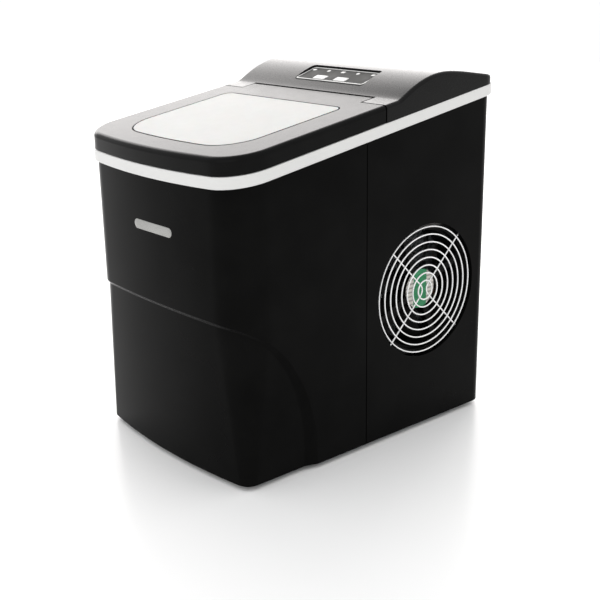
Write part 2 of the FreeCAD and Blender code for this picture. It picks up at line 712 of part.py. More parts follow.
def make_rear_housing():
    front = mm.seam_depth + mm.seam_gap / 2
    shell = envelope(0).cut(envelope(mm.shell_wall, -10))
    shell = under_band(shell).common(depth_block(front, FAR))
    lip_outer = mm.shell_wall + LIP_FIT
    lip = envelope(lip_outer, 20).cut(envelope(lip_outer + mm.lip_wall, 10))
    lip = lip.common(depth_block(mm.seam_depth - mm.lip_reach, front + LIP_ROOT))
    root = envelope(mm.shell_wall - 0.5, 20).cut(envelope(lip_outer + mm.lip_wall, 10))
    root = root.common(depth_block(front, front + LIP_ROOT))
    lip = lip.fuse(root).cut(slab(-mm.trim_height - 0.5, 200))
    shell = shell.fuse(lip)
    holes = grille_slots()
    holes.append(side_hole(mm.fan_hole, mm.fan_depth, mm.fan_level, 1))
    holes.append(rear_hole(mm.gland_hole, mm.gland_side, mm.gland_level, 20))
    through = 5 + mm.trim_overhang + mm.shell_wall + 1
    for side, level in case_screw_places():
        holes.append(rear_hole(mm.case_screw + 0.2, side, level, through))
    plain("rear_housing", shell.cut(holes))


def make_base_pan():
    outer = mm.shell_wall + mm.close_gap
    floor = envelope(outer).common(depth_block(-FAR, FAR, mm.body_base, mm.body_base + mm.pan_floor))
    rim = envelope(outer).cut(envelope(outer + mm.pan_wall, -10))
    rim = rim.common(depth_block(-FAR, FAR, mm.body_base, mm.body_base + mm.pan_floor + mm.pan_rim))
    pan = floor.fuse(rim)
    for side, level in case_screw_places():
        pan = pan.cut(rear_hole(mm.case_screw + 0.05, side, level, 17))
    plain("base_pan", pan)


def make_feet():
    """Rubber feet: a tapered disc each."""
    feet = []
    for y in ("foot_front", "foot_rear"):
        for x in ("-foot_side", "foot_side"):
            foot = doc.addObject("Part::Cone", "foot_%d" % len(feet))
            bind(foot, Radius1="foot_radius - foot_taper", Radius2="foot_radius", Height="body_base")
            feet.append(seat(foot, x, y, "0"))
    group("rubber_feet", feet)


def make_case_screws():
    screws = []
    for index, side in enumerate((-1, 1)):
        x = "%d * (foot_side + case_screw_side)" % side
        level = PAN_TOP + " + pan_rim / 2"
        seat_place = (x, BODY_REAR, level)
        tip_place = (x, BODY_REAR + " - case_screw_length", level)
        head = rod("screw_head_%d" % index, "case_screw_head", "case_screw_height", seat_place, ALONG_Y)
        shank = rod("screw_shank_%d" % index, "case_screw", "case_screw_length", tip_place, ALONG_Y)
        screws.append(fuse("case_screw_%d" % index, [head, shank]))
    group("case_screws", screws)


# ---------------------------------------------------------------- band and badge


def make_trim_band():
    ring = body_prism(0).cut(body_prism(mm.trim_wall, shrink=mm.trim_wall))
    ring = ring.common(slab(-mm.trim_height, 0))
    ledge = body_prism(mm.trim_wall - 0.5, shrink=mm.trim_wall - 0.5)
    ledge = ledge.cut(body_prism(mm.trim_wall + mm.ledge_width, shrink=mm.trim_wall))
    ledge = ledge.common(slab(-mm.ledge_top - mm.ledge_thick, -mm.ledge_top))
    plain("trim_band", ring.fuse(ledge))


def make_front_badge():
    """A plain rounded bar that follows the bowed front."""
    outer = body_prism(mm.trim_overhang - mm.badge_thick)
    inner = body_prism(mm.trim_overhang - 0.03)
    radius = mm.badge_height / 2
    half = mm.badge_width / 2 - radius
    front = -mm.trim_depth / 2 - 5
    reach = 20.0
    low = V(mm.badge_side - half, front, mm.badge_level - radius)
    bar = Part.makeBox(2 * half, reach, mm.badge_height, low)
    for end in (-half, half):
        start = V(mm.badge_side + end, front, mm.badge_level)
        bar = bar.fuse(Part.makeCylinder(radius, reach, start, V(0, 1, 0)))
    plain("front_badge", outer.cut(inner).common(bar))


# ---------------------------------------------------------------- lid


def hinge_level():
    return mm.trim_top + mm.trim_slope * mm.hinge_depth + mm.lid_top - mm.hinge_drop


def hinge_bar(radius, start, end):
    return Part.makeCylinder(radius, end - start, V(start, mm.hinge_depth, hinge_level()), V(1, 0, 0))


TONGUE_EDGE = 1.4
LID_FIT = 0.2


def lid_outline(inset):
    """The lid's outline: the front of the body, ending square at its shoulders."""
    block = body_prism(mm.lid_inset + inset, shrink=inset)
    return block.common(depth_block(-FAR, mm.lid_rear - inset))


def make_lid_frame():
    block = lid_outline(0).common(slab(mm.lid_gap, mm.lid_top))

    def on_rim(edge):
        """The edges of the lid's top, except its rear one."""
        span = edge.LastParameter - edge.FirstParameter
        points = [edge.valueAt(edge.FirstParameter + t * span) for t in (0, 0.5, 1)]
        top = mm.trim_top + mm.lid_top
        high = all(abs(p.z - top - mm.trim_slope * p.y) < 0.01 for p in points)
        return high and any(p.y < mm.lid_rear - 1 for p in points)

    block = block.makeFillet(mm.lid_edge, [e for e in block.Edges if on_rim(e)])
    tongue_block = Part.makeBox(
        2 * mm.tongue_half, mm.hinge_depth - mm.lid_rear + 5, FAR, V(-mm.tongue_half, mm.lid_rear - 5, 0)
    )
    tongue = tongue_block.common(slab(mm.lid_top - mm.lid_plate, mm.lid_top))
    end_block = Part.makeBox(
        2 * mm.tongue_half, mm.tongue_rear - mm.hinge_depth + 1, FAR,
        V(-mm.tongue_half, mm.hinge_depth - 1, 0),
    )
    end = end_block.common(slab(mm.lid_top - mm.hinge_drop, mm.lid_top))
    corner = [
        e for e in end.Edges
        if all(abs(v.Y - mm.tongue_rear) < 0.01 for v in e.Vertexes) and e.BoundBox.XLength > 10
        and e.BoundBox.Center.z > hinge_level() + 2
    ]
    end = end.makeFillet(TONGUE_EDGE, corner)
    hollow = lid_outline(mm.lid_skirt).common(slab(-5, mm.lid_top - mm.lid_plate))
    window = window_prism(0).common(slab(mm.lid_top - mm.window_thick, 100))
    opening = window_prism(mm.window_ledge)
    barrel = hinge_bar(mm.hinge_barrel, -mm.tongue_half, mm.tongue_half)
    frame = block.cut(hollow).fuse([tongue, end, barrel])
    frame = frame.cut([window, opening])
    bore = mm.hinge_pin + mm.pin_clearance
    pocket = hinge_pin_outer() - mm.hinge_pin_length - 0.5
    past_end = mm.tongue_half + 1
    frame = frame.cut([hinge_bar(bore, pocket, past_end), hinge_bar(bore, -past_end, -pocket)])
    plain("lid_frame", frame)


def make_lid_window():
    layer = slab(mm.lid_top - mm.window_thick, mm.lid_top)
    plain("lid_window", window_prism(mm.window_gap).common(layer))


def make_lid_inner_frame():
    """White ring that closes the lid's underside."""
    ring = lid_outline(mm.lid_skirt + LID_FIT).common(slab(mm.lid_gap, mm.lid_gap + mm.lid_floor))
    opening = window_prism(mm.window_ledge)
    collar = window_prism(mm.window_ledge - 2).cut(opening)
    collar = collar.common(slab(mm.lid_gap, mm.lid_top - mm.lid_plate - 0.1))
    plain("lid_inner_frame", ring.cut(opening).fuse(collar))


def hinge_pin_outer():
    """Where a hinge pin ends, flush with the outside of the cover's ear."""
    return mm.slot_half + mm.ear_wall


def make_hinge_pins():
    outer = hinge_pin_outer()
    inner = outer - mm.hinge_pin_length
    pins = [hinge_bar(mm.hinge_pin, -outer, -inner), hinge_bar(mm.hinge_pin, inner, outer)]
    plain("hinge_pins", Part.makeCompound(pins))


# ---------------------------------------------------------------- control cover


# Shape of the cover's curve: fall at its tail, and how far the curve leaves each end along its tangent.
TAIL_FALL = 0.13
RISE_LEAD = 0.27
CREST_LEAD = 0.5
FALL_LEAD = 0.27
TAIL_LEAD = 0.33


def cover_form(shrink):
    """The cover's form: flat with the lid, an S curve up to the crest, a gentle fall to the rear."""
    def lid_level(y):
        return mm.trim_top + mm.trim_slope * y + mm.lid_top - shrink

    front = mm.cover_front + shrink
    start = V(-FAR, mm.cover_rise_start, lid_level(mm.cover_rise_start))
    crest = V(-FAR, mm.cover_crest_depth, mm.cover_crest - shrink)
    tail = V(-FAR, mm.cover_tail_depth, mm.cover_tail - shrink)
    run = crest.y - start.y
    rise = Part.BezierCurve()
    along_lid = V(0, 1, mm.trim_slope) * (RISE_LEAD * run)
    rise.setPoles([start, start + along_lid, crest - V(0, CREST_LEAD * run, 0), crest])
    fall_run = tail.y - crest.y
    fall = Part.BezierCurve()
    along_tail = V(0, 1, -TAIL_FALL) * (TAIL_LEAD * fall_run)
    fall.setPoles([crest, crest + V(0, FALL_LEAD * fall_run, 0), tail - along_tail, tail])
    past_rear = mm.trim_depth / 2 + 5
    end = V(-FAR, past_rear, tail.z - TAIL_FALL * (past_rear - tail.y))
    base = mm.trim_top - 27
    base_front = V(-FAR, front, base)
    base_rear = V(-FAR, past_rear, base)
    lip = V(-FAR, front, lid_level(front))
    edges = [
        Part.makeLine(base_front, lip),
        Part.makeLine(lip, start),
        rise.toShape(),
        fall.toShape(),
        Part.makeLine(tail, end),
        Part.makeLine(end, base_rear),
        Part.makeLine(base_rear, base_front),
    ]
    side = Part.Face(Part.Wire(edges)).extrude(V(2 * FAR, 0, 0))
    return side.common(body_prism(mm.lid_inset + shrink, shrink=shrink))


def panel_placement(x, v, drop):
    """Place on the control panel: x across, v up its slope, drop under its face."""
    tilt = Rotation(V(1, 0, 0), mm.panel_tilt)
    centre = V(mm.panel_side, mm.panel_depth, mm.panel_height)
    return Placement(centre + tilt.multVec(V(x, v, -drop)), tilt)


def panel_block(width, length, top, thick, x=0.0, v=0.0, corner=0.0):
    """A block lying in the panel's frame: its top is this far under the panel's face."""
    block = Part.makeBox(width, length, thick, V(-width / 2, -length / 2, -thick))
    if corner:
        uprights = [e for e in block.Edges if abs(e.Vertexes[0].Z - e.Vertexes[1].Z) > 0.9 * thick]
        block = block.makeFillet(corner, uprights)
    block.Placement = panel_placement(x, v, top)
    return block


def button_places():
    return {"button_select": mm.button_left, "button_power": mm.button_right}


def lens_places():
    return [(index - 2) * mm.lens_pitch for index in range(5)]


def board_bosses():
    """Centres of the bosses that carry the control board."""
    return [
        (mm.board_side + across * mm.boss_side, mm.board_depth + along * mm.boss_depth)
        for along in (-1, 1) for across in (-1, 1)
    ]


PANEL_FIT = 0.4
LENS_FIT = 0.2
BUTTON_CORNER = 1.0
LENS_CORNER = 0.8
PIN_FIT = 0.02


def make_control_cover():
    outer = cover_form(0)

    def on_top(edge):
        """The edges of the cover's top along its sides, round its corners and along its rear."""
        room = edge.BoundBox
        high = room.ZMin > mm.trim_top + mm.lid_top - 3
        outside = abs(room.Center.x) > mm.trim_width / 2 - mm.rear_corner - 2
        along_side = outside and room.XLength < mm.rear_corner + 1
        along_rear = room.YMin > mm.trim_depth / 2 - mm.lid_inset - 1
        behind = room.YMin > mm.cover_front - 1
        return high and behind and (along_side or along_rear) and not upright(edge)

    def upright(edge):
        return edge.BoundBox.XLength < 0.01 and edge.BoundBox.YLength < 0.01

    upper = [edge for edge in outer.Edges if on_top(edge)]
    outer = outer.makeFillet(mm.cover_edge, upper)
    shell = outer.cut(cover_form(mm.cover_wall))
    slot_ring = Part.makeBox(
        2 * (mm.slot_half + mm.ear_wall), mm.slot_rear + mm.ear_wall - mm.cover_front, FAR,
        V(-mm.slot_half - mm.ear_wall, mm.cover_front, 0),
    )
    boss = panel_block(
        mm.panel_width + 2 * mm.panel_frame, mm.panel_length + 2 * mm.panel_frame,
        -mm.panel_frame_depth, 2 * mm.panel_frame_depth,
    )
    foot = mm.board_level + mm.board_thick
    posts = [Part.makeCylinder(mm.boss_radius, 30, V(x, y, foot)) for x, y in board_bosses()]
    inside = cover_form(1.0)
    shell = shell.fuse([slot_ring.common(outer), boss.common(inside)] + [p.common(inside) for p in posts])
    slot = Part.makeBox(
        2 * mm.slot_half, mm.slot_rear - mm.cover_front + 1, FAR, V(-mm.slot_half, mm.cover_front - 1, 0)
    )
    above = 20.0
    recess = panel_block(
        mm.panel_width + PANEL_FIT, mm.panel_length + PANEL_FIT, -above, above + mm.panel_thick,
        corner=mm.panel_corner,
    )
    ledge = 2 * mm.panel_ledge
    through = panel_block(mm.panel_width - ledge, mm.panel_length - ledge, -above, 2 * above)
    ear = mm.slot_half + mm.ear_wall + 0.5
    bore = mm.hinge_pin + PIN_FIT
    pins = [hinge_bar(bore, -ear, -mm.slot_half + 1), hinge_bar(bore, mm.slot_half - 1, ear)]
    shell = shell.cut([slot, recess, through] + pins)
    plain("control_cover", shell.cut(slab(-60, 0)))


def make_control_panel():
    plate = panel_block(
        mm.panel_width, mm.panel_length, 0, mm.panel_thick, corner=mm.panel_corner - PANEL_FIT / 2
    )
    above, through = -5.0, 15.0
    gap = 2 * mm.button_gap
    width, length = mm.button_width + gap, mm.button_length + gap
    corner = BUTTON_CORNER + mm.button_gap
    holes = [
        panel_block(width, length, above, through, x, mm.button_row, corner) for x in button_places().values()
    ]
    width, length = mm.lens_width + LENS_FIT, mm.lens_length + LENS_FIT
    holes += [panel_block(width, length, above, through, x, mm.lens_row) for x in lens_places()]
    plain("control_panel", plate.cut(holes))


def make_buttons():
    for name, x in button_places().items():
        plain(name, panel_block(
            mm.button_width, mm.button_length, -mm.button_proud, mm.button_height,
            x, mm.button_row, BUTTON_CORNER,
        ))


def make_indicator_lenses():
    lenses = [
        panel_block(mm.lens_width, mm.lens_length, 0, mm.panel_thick, x, mm.lens_row, LENS_CORNER)
        for x in lens_places()
    ]
    plain("indicator_lenses", Part.makeCompound(lenses))


def make_display_board():
    """Board under the panel on four posts, with a switch under each button."""
    board = panel_block(mm.panel_width - 8, mm.panel_length - 6, mm.board_drop, mm.board_thick)
    posts = [
        panel_block(3, 3, mm.panel_thick + 0.02, mm.board_drop - mm.panel_thick + 0.1, x, v)
        for x in (-mm.panel_width / 2 + 7, mm.panel_width / 2 - 7) for v in (-9, 3)
    ]
    travel = mm.button_height - mm.button_proud + 1.2
    switches = [
        panel_block(6, 6, travel, mm.board_drop - travel + 0.1, x, mm.button_row)
        for x in button_places().values()
    ]
    plain("display_board", board.fuse(posts + switches))


def make_control_board():
    """Main board under the cover, with a relay, a capacitor and a terminal strip."""
    half_width = mm.boss_side + mm.board_margin
    half_length = mm.boss_depth + mm.board_margin
    left, right = mm.board_side - half_width, mm.board_side + half_width
    front, rear = mm.board_depth - half_length, mm.board_depth + half_length
    level = mm.board_level
    board = Part.makeBox(right - left, rear - front, mm.board_thick, V(left, front, level))
    relay = Part.makeBox(16, 19, 15, V(left + 20, front + 8, level - 15))
    strip = Part.makeBox(44, 8, 9, V(left + 22, rear - 14, level - 9))
    can = Part.makeCylinder(5, 16, V(right - 24, front + 18, level - 16))
    plain("control_board", board.fuse([relay, strip, can]))


# ---------------------------------------------------------------- tub, insulation, chute, basket


def chute_line(y):
    share = (y - mm.chute_front) / (mm.tub_rear - 1 - mm.chute_front)
    return mm.chute_front_level + share * (mm.chute_rear_level - mm.chute_front_level)


def make_inner_liner():
    tub = tub_prism(mm.tub_wall, mm.tub_floor - mm.tub_wall, FAR)
    deck = body_prism(mm.trim_wall + mm.close_gap, shrink=mm.trim_wall)
    deck = deck.common(depth_block(-FAR, mm.deck_rear))
    deck = deck.common(slab(-mm.ledge_top, -mm.ledge_top + mm.deck_thick))
    liner = tub.cut(slab(-mm.ledge_top + mm.deck_thick, 300)).fuse(deck)
    liner = liner.cut(tub_prism(0, mm.tub_floor, FAR))
    rails = []
    ledges = []
    for side in (-1, 1):
        outer = side * (mm.tub_half + 0.5)
        inner = side * (mm.tub_half - mm.rail_width)
        low = min(outer, inner)
        width = abs(outer - inner)
        rail_level = mm.basket_low - 0.3 - mm.rail_height
        length = mm.basket_rear - mm.basket_front
        rails.append(Part.makeBox(width, length - 6, mm.rail_height, V(low, mm.basket_front + 3, rail_level)))
        low = min(outer, side * (mm.tub_half - 4))
        for y in (mm.tub_rear - 22, mm.tub_rear - 54):
            level = chute_line(y) - mm.chute_thick - 5.5
            ledges.append(Part.makeBox(4.5, 8, 4, V(low, y - 4, level)))
    liner = liner.fuse(rails + ledges)
    wall = 2 * mm.tub_wall + 4
    drain = V(mm.drain_side, mm.drain_depth, mm.tub_floor - wall / 2)
    holes = [Part.makeCylinder(mm.drain_bore, wall, drain)]
    for side in (-1, 1):
        start = V(side * (mm.tub_half - mm.tub_corner), 0, 0)
        reach = mm.tub_corner + 2 * mm.tub_wall
        out = V(side, 0, 0)
        tray = start + V(0, mm.tray_depth, mm.tray_level)
        shovel = start + V(0, mm.shovel_depth, mm.shovel_level)
        holes.append(Part.makeCylinder(mm.bush_radius, reach, tray, out))
        holes.append(Part.makeCylinder(mm.shovel_rod + 0.1, reach, shovel, out))
    for x in (mm.header_inlet, mm.header_outlet):
        rear = V(x, mm.tub_rear - 2, mm.header_exit)
        holes.append(Part.makeCylinder(mm.header_radius + 0.3, 8, rear, V(0, 1, 0)))
    plain("inner_liner", liner.cut(holes))


def make_insulation():
    grow = mm.tub_wall + mm.foam_gap
    outer = tub_prism(grow + mm.foam_thick, mm.foam_low, mm.foam_high)
    plain("insulation", outer.cut(tub_prism(grow, mm.foam_low - 1, mm.foam_high + 1)))


def make_ice_chute():
    """Slotted slide from the tub's rear wall down to the basket."""
    half = mm.tub_half - 0.4
    rear = mm.tub_rear - 1
    top = [(mm.chute_front, mm.chute_front_level), (rear, mm.chute_rear_level)]
    plate = side_block(top + [(y, z - mm.chute_thick) for y, z in reversed(top)], half)
    plate = plate.common(tub_prism(-mm.close_gap, 0, FAR))
    slots = []
    count = 8
    first = -(count - 1) / 2 * mm.chute_slot_pitch
    for index in range(count):
        x = first + index * mm.chute_slot_pitch
        slots.append(Part.makeBox(mm.chute_slot, 38, 40, V(x - mm.chute_slot / 2, mm.tub_rear - 54, 180)))
    hose_slot = V(pump_outlet_side() - 6, mm.pump_depth - 6, 180)
    slots.append(Part.makeBox(12, 14, 40, hose_slot))
    plain("ice_chute", plate.cut(slots))


def make_ice_basket():
    """Open basket with drain slots in its floor and a rim."""
    basket = new_body("ice_basket")
    depth = "(basket_rear - basket_front)"
    middle = "((basket_rear + basket_front) / 2)"
    floor = sketch(basket, "basket_outline", "XY_Plane", "basket_low")
    rectangle(floor, "0", middle, "2 * basket_half", depth)
    feature(basket, "Pad", "basket_block", floor, Length="basket_high - basket_low")
    doc.recompute()
    rim = sketch(basket, "basket_rim_outline", "XY_Plane", "basket_high - 2")
    rectangle(rim, "0", middle, "2 * (basket_half + basket_rim)", depth)
    feature(basket, "Pad", "basket_rim_plate", rim, Length="2")
    doc.recompute()
    hollow = sketch(basket, "basket_hollow_outline", "XY_Plane", "basket_high")
    rectangle(hollow, "0", middle, "2 * (basket_half - basket_wall)", depth + " - 2 * basket_wall")
    feature(basket, "Pocket", "basket_hollow", hollow, Length="basket_high - basket_low - basket_wall")
    doc.recompute()
    slot = sketch(basket, "basket_slot_outline", "XY_Plane", "basket_low + 2 * basket_wall")
    rectangle(slot, "-basket_half + basket_slot_edge", middle, "basket_slot", depth + " - 20")
    slots = feature(basket, "Pocket", "basket_slot", slot, Length="4 * basket_wall")
    doc.recompute()
    pattern = basket.newObject("PartDesign::LinearPattern", "basket_slots")
    pattern.Originals = [slots]
    pattern.Direction = (slot, ["H_Axis"])
    bind(pattern, Length="2 * (basket_half - basket_slot_edge)")
    pattern.Occurrences = 15
    basket.Tip = pattern
    doc.recompute()


# ---------------------------------------------------------------- water tray, its drive, ice shovel


SHAFT_FIT = 0.01
BUSH_SHOULDER = 1.5


def make_water_tray():
    """Round trough with an end plate and a lug at each end."""
    axis = V(0, mm.tray_depth, mm.tray_level)
    half = mm.tray_half
    inner = mm.tray_radius - mm.tray_wall
    lip = mm.tray_radius * math.sin(math.radians(mm.tray_lip))
    double = 2 * mm.tray_radius
    below = Part.makeBox(4 * half, 2 * double, double)
    below.translate(V(-2 * half, mm.tray_depth - double, mm.tray_level - lip - double))
    trough = Part.makeCylinder(mm.tray_radius, 2 * half, axis - V(half, 0, 0), V(1, 0, 0)).common(below)
    inside = half - mm.tray_wall
    hollow = Part.makeCylinder(inner, 2 * inside, axis - V(inside, 0, 0), V(1, 0, 0))
    tray = trough.cut(hollow)
    for start in (-half, half - mm.tray_wall):
        tray = tray.fuse(Part.makeCylinder(mm.tray_lug, mm.tray_wall, axis + V(start, 0, 0), V(1, 0, 0)))
        web = Part.makeBox(mm.tray_wall, 2 * mm.tray_lug, lip + 2)
        web.translate(axis + V(start, -mm.tray_lug, -lip - 2))
        tray = tray.fuse(web)
    bore = mm.tray_shaft_radius + SHAFT_FIT
    tray = tray.cut(Part.makeCylinder(bore, 3 * half, axis - V(1.5 * half, 0, 0), V(1, 0, 0)))
    plain("water_tray", tray)


def make_tray_shafts():
    """Two stub shafts in the tray's lugs: one in the left bush, one through the right bush to the motor."""
    radius = "tray_shaft_radius"
    inside = "(tray_half - tray_wall)"
    left_end = "(tub_half + 1.8)"
    right_end = "(tub_half + tub_wall + 4)"
    left_place = ("-" + left_end, "tray_depth", "tray_level")
    right_place = (inside, "tray_depth", "tray_level")
    left = rod("tray_shaft_left", radius, "%s - %s" % (left_end, inside), left_place, ALONG_X)
    right = rod("tray_shaft_right", radius, "%s - %s" % (right_end, inside), right_place, ALONG_X)
    group("tray_shafts", [left, right])


def make_tray_bushes():
    bushes = []
    length = "tub_wall + %s" % BUSH_SHOULDER
    for index, x in enumerate(("-tub_half - tub_wall", "tub_half - %s" % BUSH_SHOULDER)):
        name = "tray_bush_%d" % index
        place = (x, "tray_depth", "tray_level")
        before = (x + " - 0.5", "tray_depth", "tray_level")
        outer = rod(name + "_outer", "bush_radius - 0.02", length, place, ALONG_X)
        bore = rod(name + "_bore", "tray_shaft_radius + pin_clearance", length + " + 1.5", before, ALONG_X)
        bushes.append(cut(name, outer, [bore]))
    group("tray_bushes", bushes)


def make_tray_motor():
    """Flat gear motor on the tub's right wall, with two ears."""
    motor = new_body("tray_motor")
    side = "tub_half + tub_wall + 0.2"
    can = sketch(motor, "motor_outline", "YZ_Plane", side)
    circle(can, "tray_depth", "tray_level", "motor_radius")
    feature(motor, "Pad", "motor_can", can, Length="motor_thick")
    doc.recompute()
    ears = sketch(motor, "motor_ear_outline", "YZ_Plane", side)
    rectangle(ears, "tray_depth", "tray_level", "2 * motor_radius + 12", "9")
    feature(motor, "Pad", "motor_ears", ears, Length="1.5")
    doc.recompute()
    bore = sketch(motor, "motor_bore_outline", "YZ_Plane", side + " + 6")
    circle(bore, "tray_depth", "tray_level", "tray_shaft_radius + pin_clearance")
    feature(motor, "Pocket", "motor_bore", bore, Length="12")
    doc.recompute()


def make_ice_shovel():
    """Comb blade hanging from a rod across the tub."""
    axis = V(0, mm.shovel_depth, mm.shovel_level)
    rod_half = mm.tub_half + mm.tub_wall - 0.3
    corner = axis - V(mm.shovel_half, mm.shovel_thick / 2, mm.shovel_blade)
    blade = Part.makeBox(2 * mm.shovel_half, mm.shovel_thick, mm.shovel_blade, corner)
    notches = []
    count = 7
    across = 3 * mm.shovel_thick
    for index in range(count):
        x = (index - (count - 1) / 2) * mm.notch_pitch
        low = axis + V(x - mm.notch_width / 2, -across / 2, -mm.shovel_blade - 1)
        notches.append(Part.makeBox(mm.notch_width, across, mm.notch_height + 1, low))
    bar = Part.makeCylinder(mm.shovel_rod, 2 * rod_half, axis - V(rod_half, 0, 0), V(1, 0, 0))
    plain("ice_shovel", blade.cut(notches).fuse(bar))


# ---------------------------------------------------------------- evaporator and pipes


def pipe_path(points, bend):
    """A wire of straight runs joined by tangent arcs of radius bend."""
    corners = [V(*p) for p in points]
    edges = []
    start = corners[0]
    for index in range(1, len(corners) - 1):
        before = (corners[index] - corners[index - 1]).normalize()
        after = (corners[index + 1] - corners[index]).normalize()
        turn = before.getAngle(after)
        cutback = bend * math.tan(turn / 2)
        arc_start = corners[index] - before * cutback
        arc_end = corners[index] + after * cutback
        inward = (after - before).normalize()
        depth = bend / math.cos(turn / 2) - bend
        if start.distanceToPoint(arc_start) > 1e-6:
            edges.append(Part.makeLine(start, arc_start))
        edges.append(Part.Arc(arc_start, corners[index] + inward * depth, arc_end).toShape())
        start = arc_end
    edges.append(Part.makeLine(start, corners[-1]))
    return Part.Wire(edges)


def pipe(points, bend, radius, bore=0.0):
    """A tube along a path of straight runs and arcs."""
    path = pipe_path(points, bend)
    start = V(*points[0])
    along = V(*points[1]) - start
    solids = []
    for size in (radius, bore):
        if size:
            ring = Part.Wire(Part.makeCircle(size, start, along))
            solids.append(path.makePipeShell([ring], True, True))
    return solids[0].cut(solids[1]) if bore else solids[0]


def header_level():
    return mm.tray_level + mm.header_rise


def make_evaporator_tube():
    rear_row = mm.tray_depth + mm.finger_row
    front_row = mm.tray_depth - mm.finger_row
    low = header_level()
    inlet, outlet, far = mm.header_inlet, mm.header_outlet, mm.header_far
    points = [
        (inlet, mm.tub_rear + 18, mm.header_exit),
        (inlet, rear_row, mm.header_exit),
        (inlet, rear_row, low),
        (far, rear_row, low),
        (far, front_row, low),
        (outlet, front_row, low),
        (outlet, rear_row, low),
        (outlet, rear_row, mm.header_exit),
        (outlet, mm.tub_rear + 12, mm.header_exit),
    ]
    plain("evaporator_tube", pipe(points, 6.5, mm.header_radius))


def finger_places():
    rows = [(mm.tray_depth + mm.finger_row, 4), (mm.tray_depth - mm.finger_row, 5)]
    return [(mm.finger_start + index * mm.finger_pitch, y) for y, count in rows for index in range(count)]


def make_freezing_fingers():
    """Round-nosed rods brazed under the evaporator tube."""
    tip = mm.tray_level - mm.finger_reach
    fingers = []
    for x, y in finger_places():
        length = header_level() - tip - mm.finger_radius
        bar = Part.makeCylinder(mm.finger_radius, length, V(x, y, tip + mm.finger_radius))
        nose = Part.makeSphere(mm.finger_radius, V(x, y, tip + mm.finger_radius))
        saddle = Part.makeCylinder(mm.header_radius + PIN_FIT, 30, V(x - 15, y, header_level()), V(1, 0, 0))
        fingers.append(bar.fuse(nose).cut(saddle))
    plain("freezing_fingers", Part.makeCompound(fingers))


def make_refrigerant_pipes():
    """Pipes between compressor, condenser, drier, valve and evaporator, end to end."""
    inlet, outlet = mm.header_inlet, mm.header_outlet
    coil_side, coil_end = mm.condenser_side, mm.condenser_rear + 6
    coil_top = condenser_runs()[-1]
    x, y, z = mm.compressor_side, mm.compressor_depth, mm.compressor_high + 4
    level = mm.header_exit
    run = mm.pipe_level
    drier_x, drier_y = mm.drier_side, mm.drier_depth
    hot_x = x + mm.stub_spread
    discharge = [
        (hot_x, y, z), (hot_x, y, run), (coil_side, y, run),
        (coil_side, coil_end + 10, run), (coil_side, coil_end + 10, coil_top),
        (coil_side, coil_end, coil_top),
    ]
    plain("discharge_pipe", pipe(discharge, 4.9, 3.0))
    cold_x, depth, high = x - mm.stub_spread, mm.suction_depth, mm.suction_level
    suction = [
        (outlet, mm.tub_rear + 12, level), (outlet, depth, level), (outlet, depth, high),
        (cold_x, depth, high), (cold_x, y, high), (cold_x, y, z),
    ]
    plain("suction_pipe", pipe(suction, 9.0, 3.5))
    liquid = [
        (coil_side, coil_end, mm.condenser_low), (coil_side, drier_y, mm.condenser_low),
        (drier_x, drier_y, mm.condenser_low), (drier_x, drier_y, mm.drier_low),
    ]
    plain("liquid_line", pipe(liquid, 5.0, 2.5))
    capillary = [
        (drier_x, drier_y, mm.drier_high), (drier_x, drier_y, level),
        (inlet, drier_y, level), (inlet, mm.tub_rear + 18, level),
    ]
    plain("capillary_tube", pipe(capillary, 8.0, 1.3))
    valve_x, valve_y, half = mm.valve_side, mm.valve_depth, mm.valve_length / 2
    join = mm.tub_rear + 15
    hot = [
        (valve_x, valve_y, run + half), (valve_x, valve_y, level),
        (valve_x, join, level), (inlet - mm.header_radius - 0.1, join, level),
    ]
    hot_radius = 2.0
    start = V(valve_x, valve_y + half, run)
    feed = Part.makeCylinder(hot_radius, y - 3.1 - start.y, start, V(0, 1, 0))
    plain("hot_gas_pipe", Part.makeCompound([pipe(hot, 6.0, hot_radius), feed]))


def make_hot_gas_valve():
    """Solenoid valve in the hot gas line: a brass body with its coil."""
    x, y, z = mm.valve_side, mm.valve_depth, mm.pipe_level
    width, length = mm.valve_width, mm.valve_length
    body = Part.makeBox(width, length, length, V(x - width / 2, y - length / 2, z - length / 2))
    coil = Part.makeCylinder(mm.coil_radius, mm.coil_length, V(x - width / 2, y, z), V(-1, 0, 0))
    plain("hot_gas_valve", body.fuse(coil))


def make_filter_drier():
    x, y = mm.drier_side, mm.drier_depth
    low, high, neck = mm.drier_low, mm.drier_high, mm.drier_neck
    radius, end = mm.drier_radius, 3.0
    can = Part.makeCylinder(radius, high - low - 2 * neck, V(x, y, low + neck))
    cones = [
        Part.makeCone(end, radius, neck, V(x, y, low)),
        Part.makeCone(radius, end, neck, V(x, y, high - neck)),
    ]
    plain("filter_drier", can.fuse(cones))


# ---------------------------------------------------------------- sensors, pump, hose, drain


def make_ice_level_sensors():
    sensors = []
    for index, x in enumerate(("-tub_half + 0.3", "tub_half - 2.8")):
        place = (x, "basket_front + 36", "basket_high + 8")
        sensors.append(box("sensor_%d" % index, place, ("2.5", "14", "18")))
    group("ice_level_sensors", sensors)


def make_float():
    place = ("float_side", "float_depth", "tub_floor")
    stem = rod("stem_bar", "2.4", "30", place)
    cap = rod("stem_cap", "4.5", "2", (place[0], place[1], "tub_floor + 28"))
    collar = rod("stem_collar", "5", "3", place)
    fuse("float_stem", [stem, cap, collar])
    ring = new_body("level_float")
    outline = sketch(ring, "float_outline", "XY_Plane", "tub_floor + 3.2")
    circle(outline, place[0], place[1], "float_radius")
    circle(outline, place[0], place[1], "2.8")
    feature(ring, "Pad", "float_ring", outline, Length="float_height")
    doc.recompute()


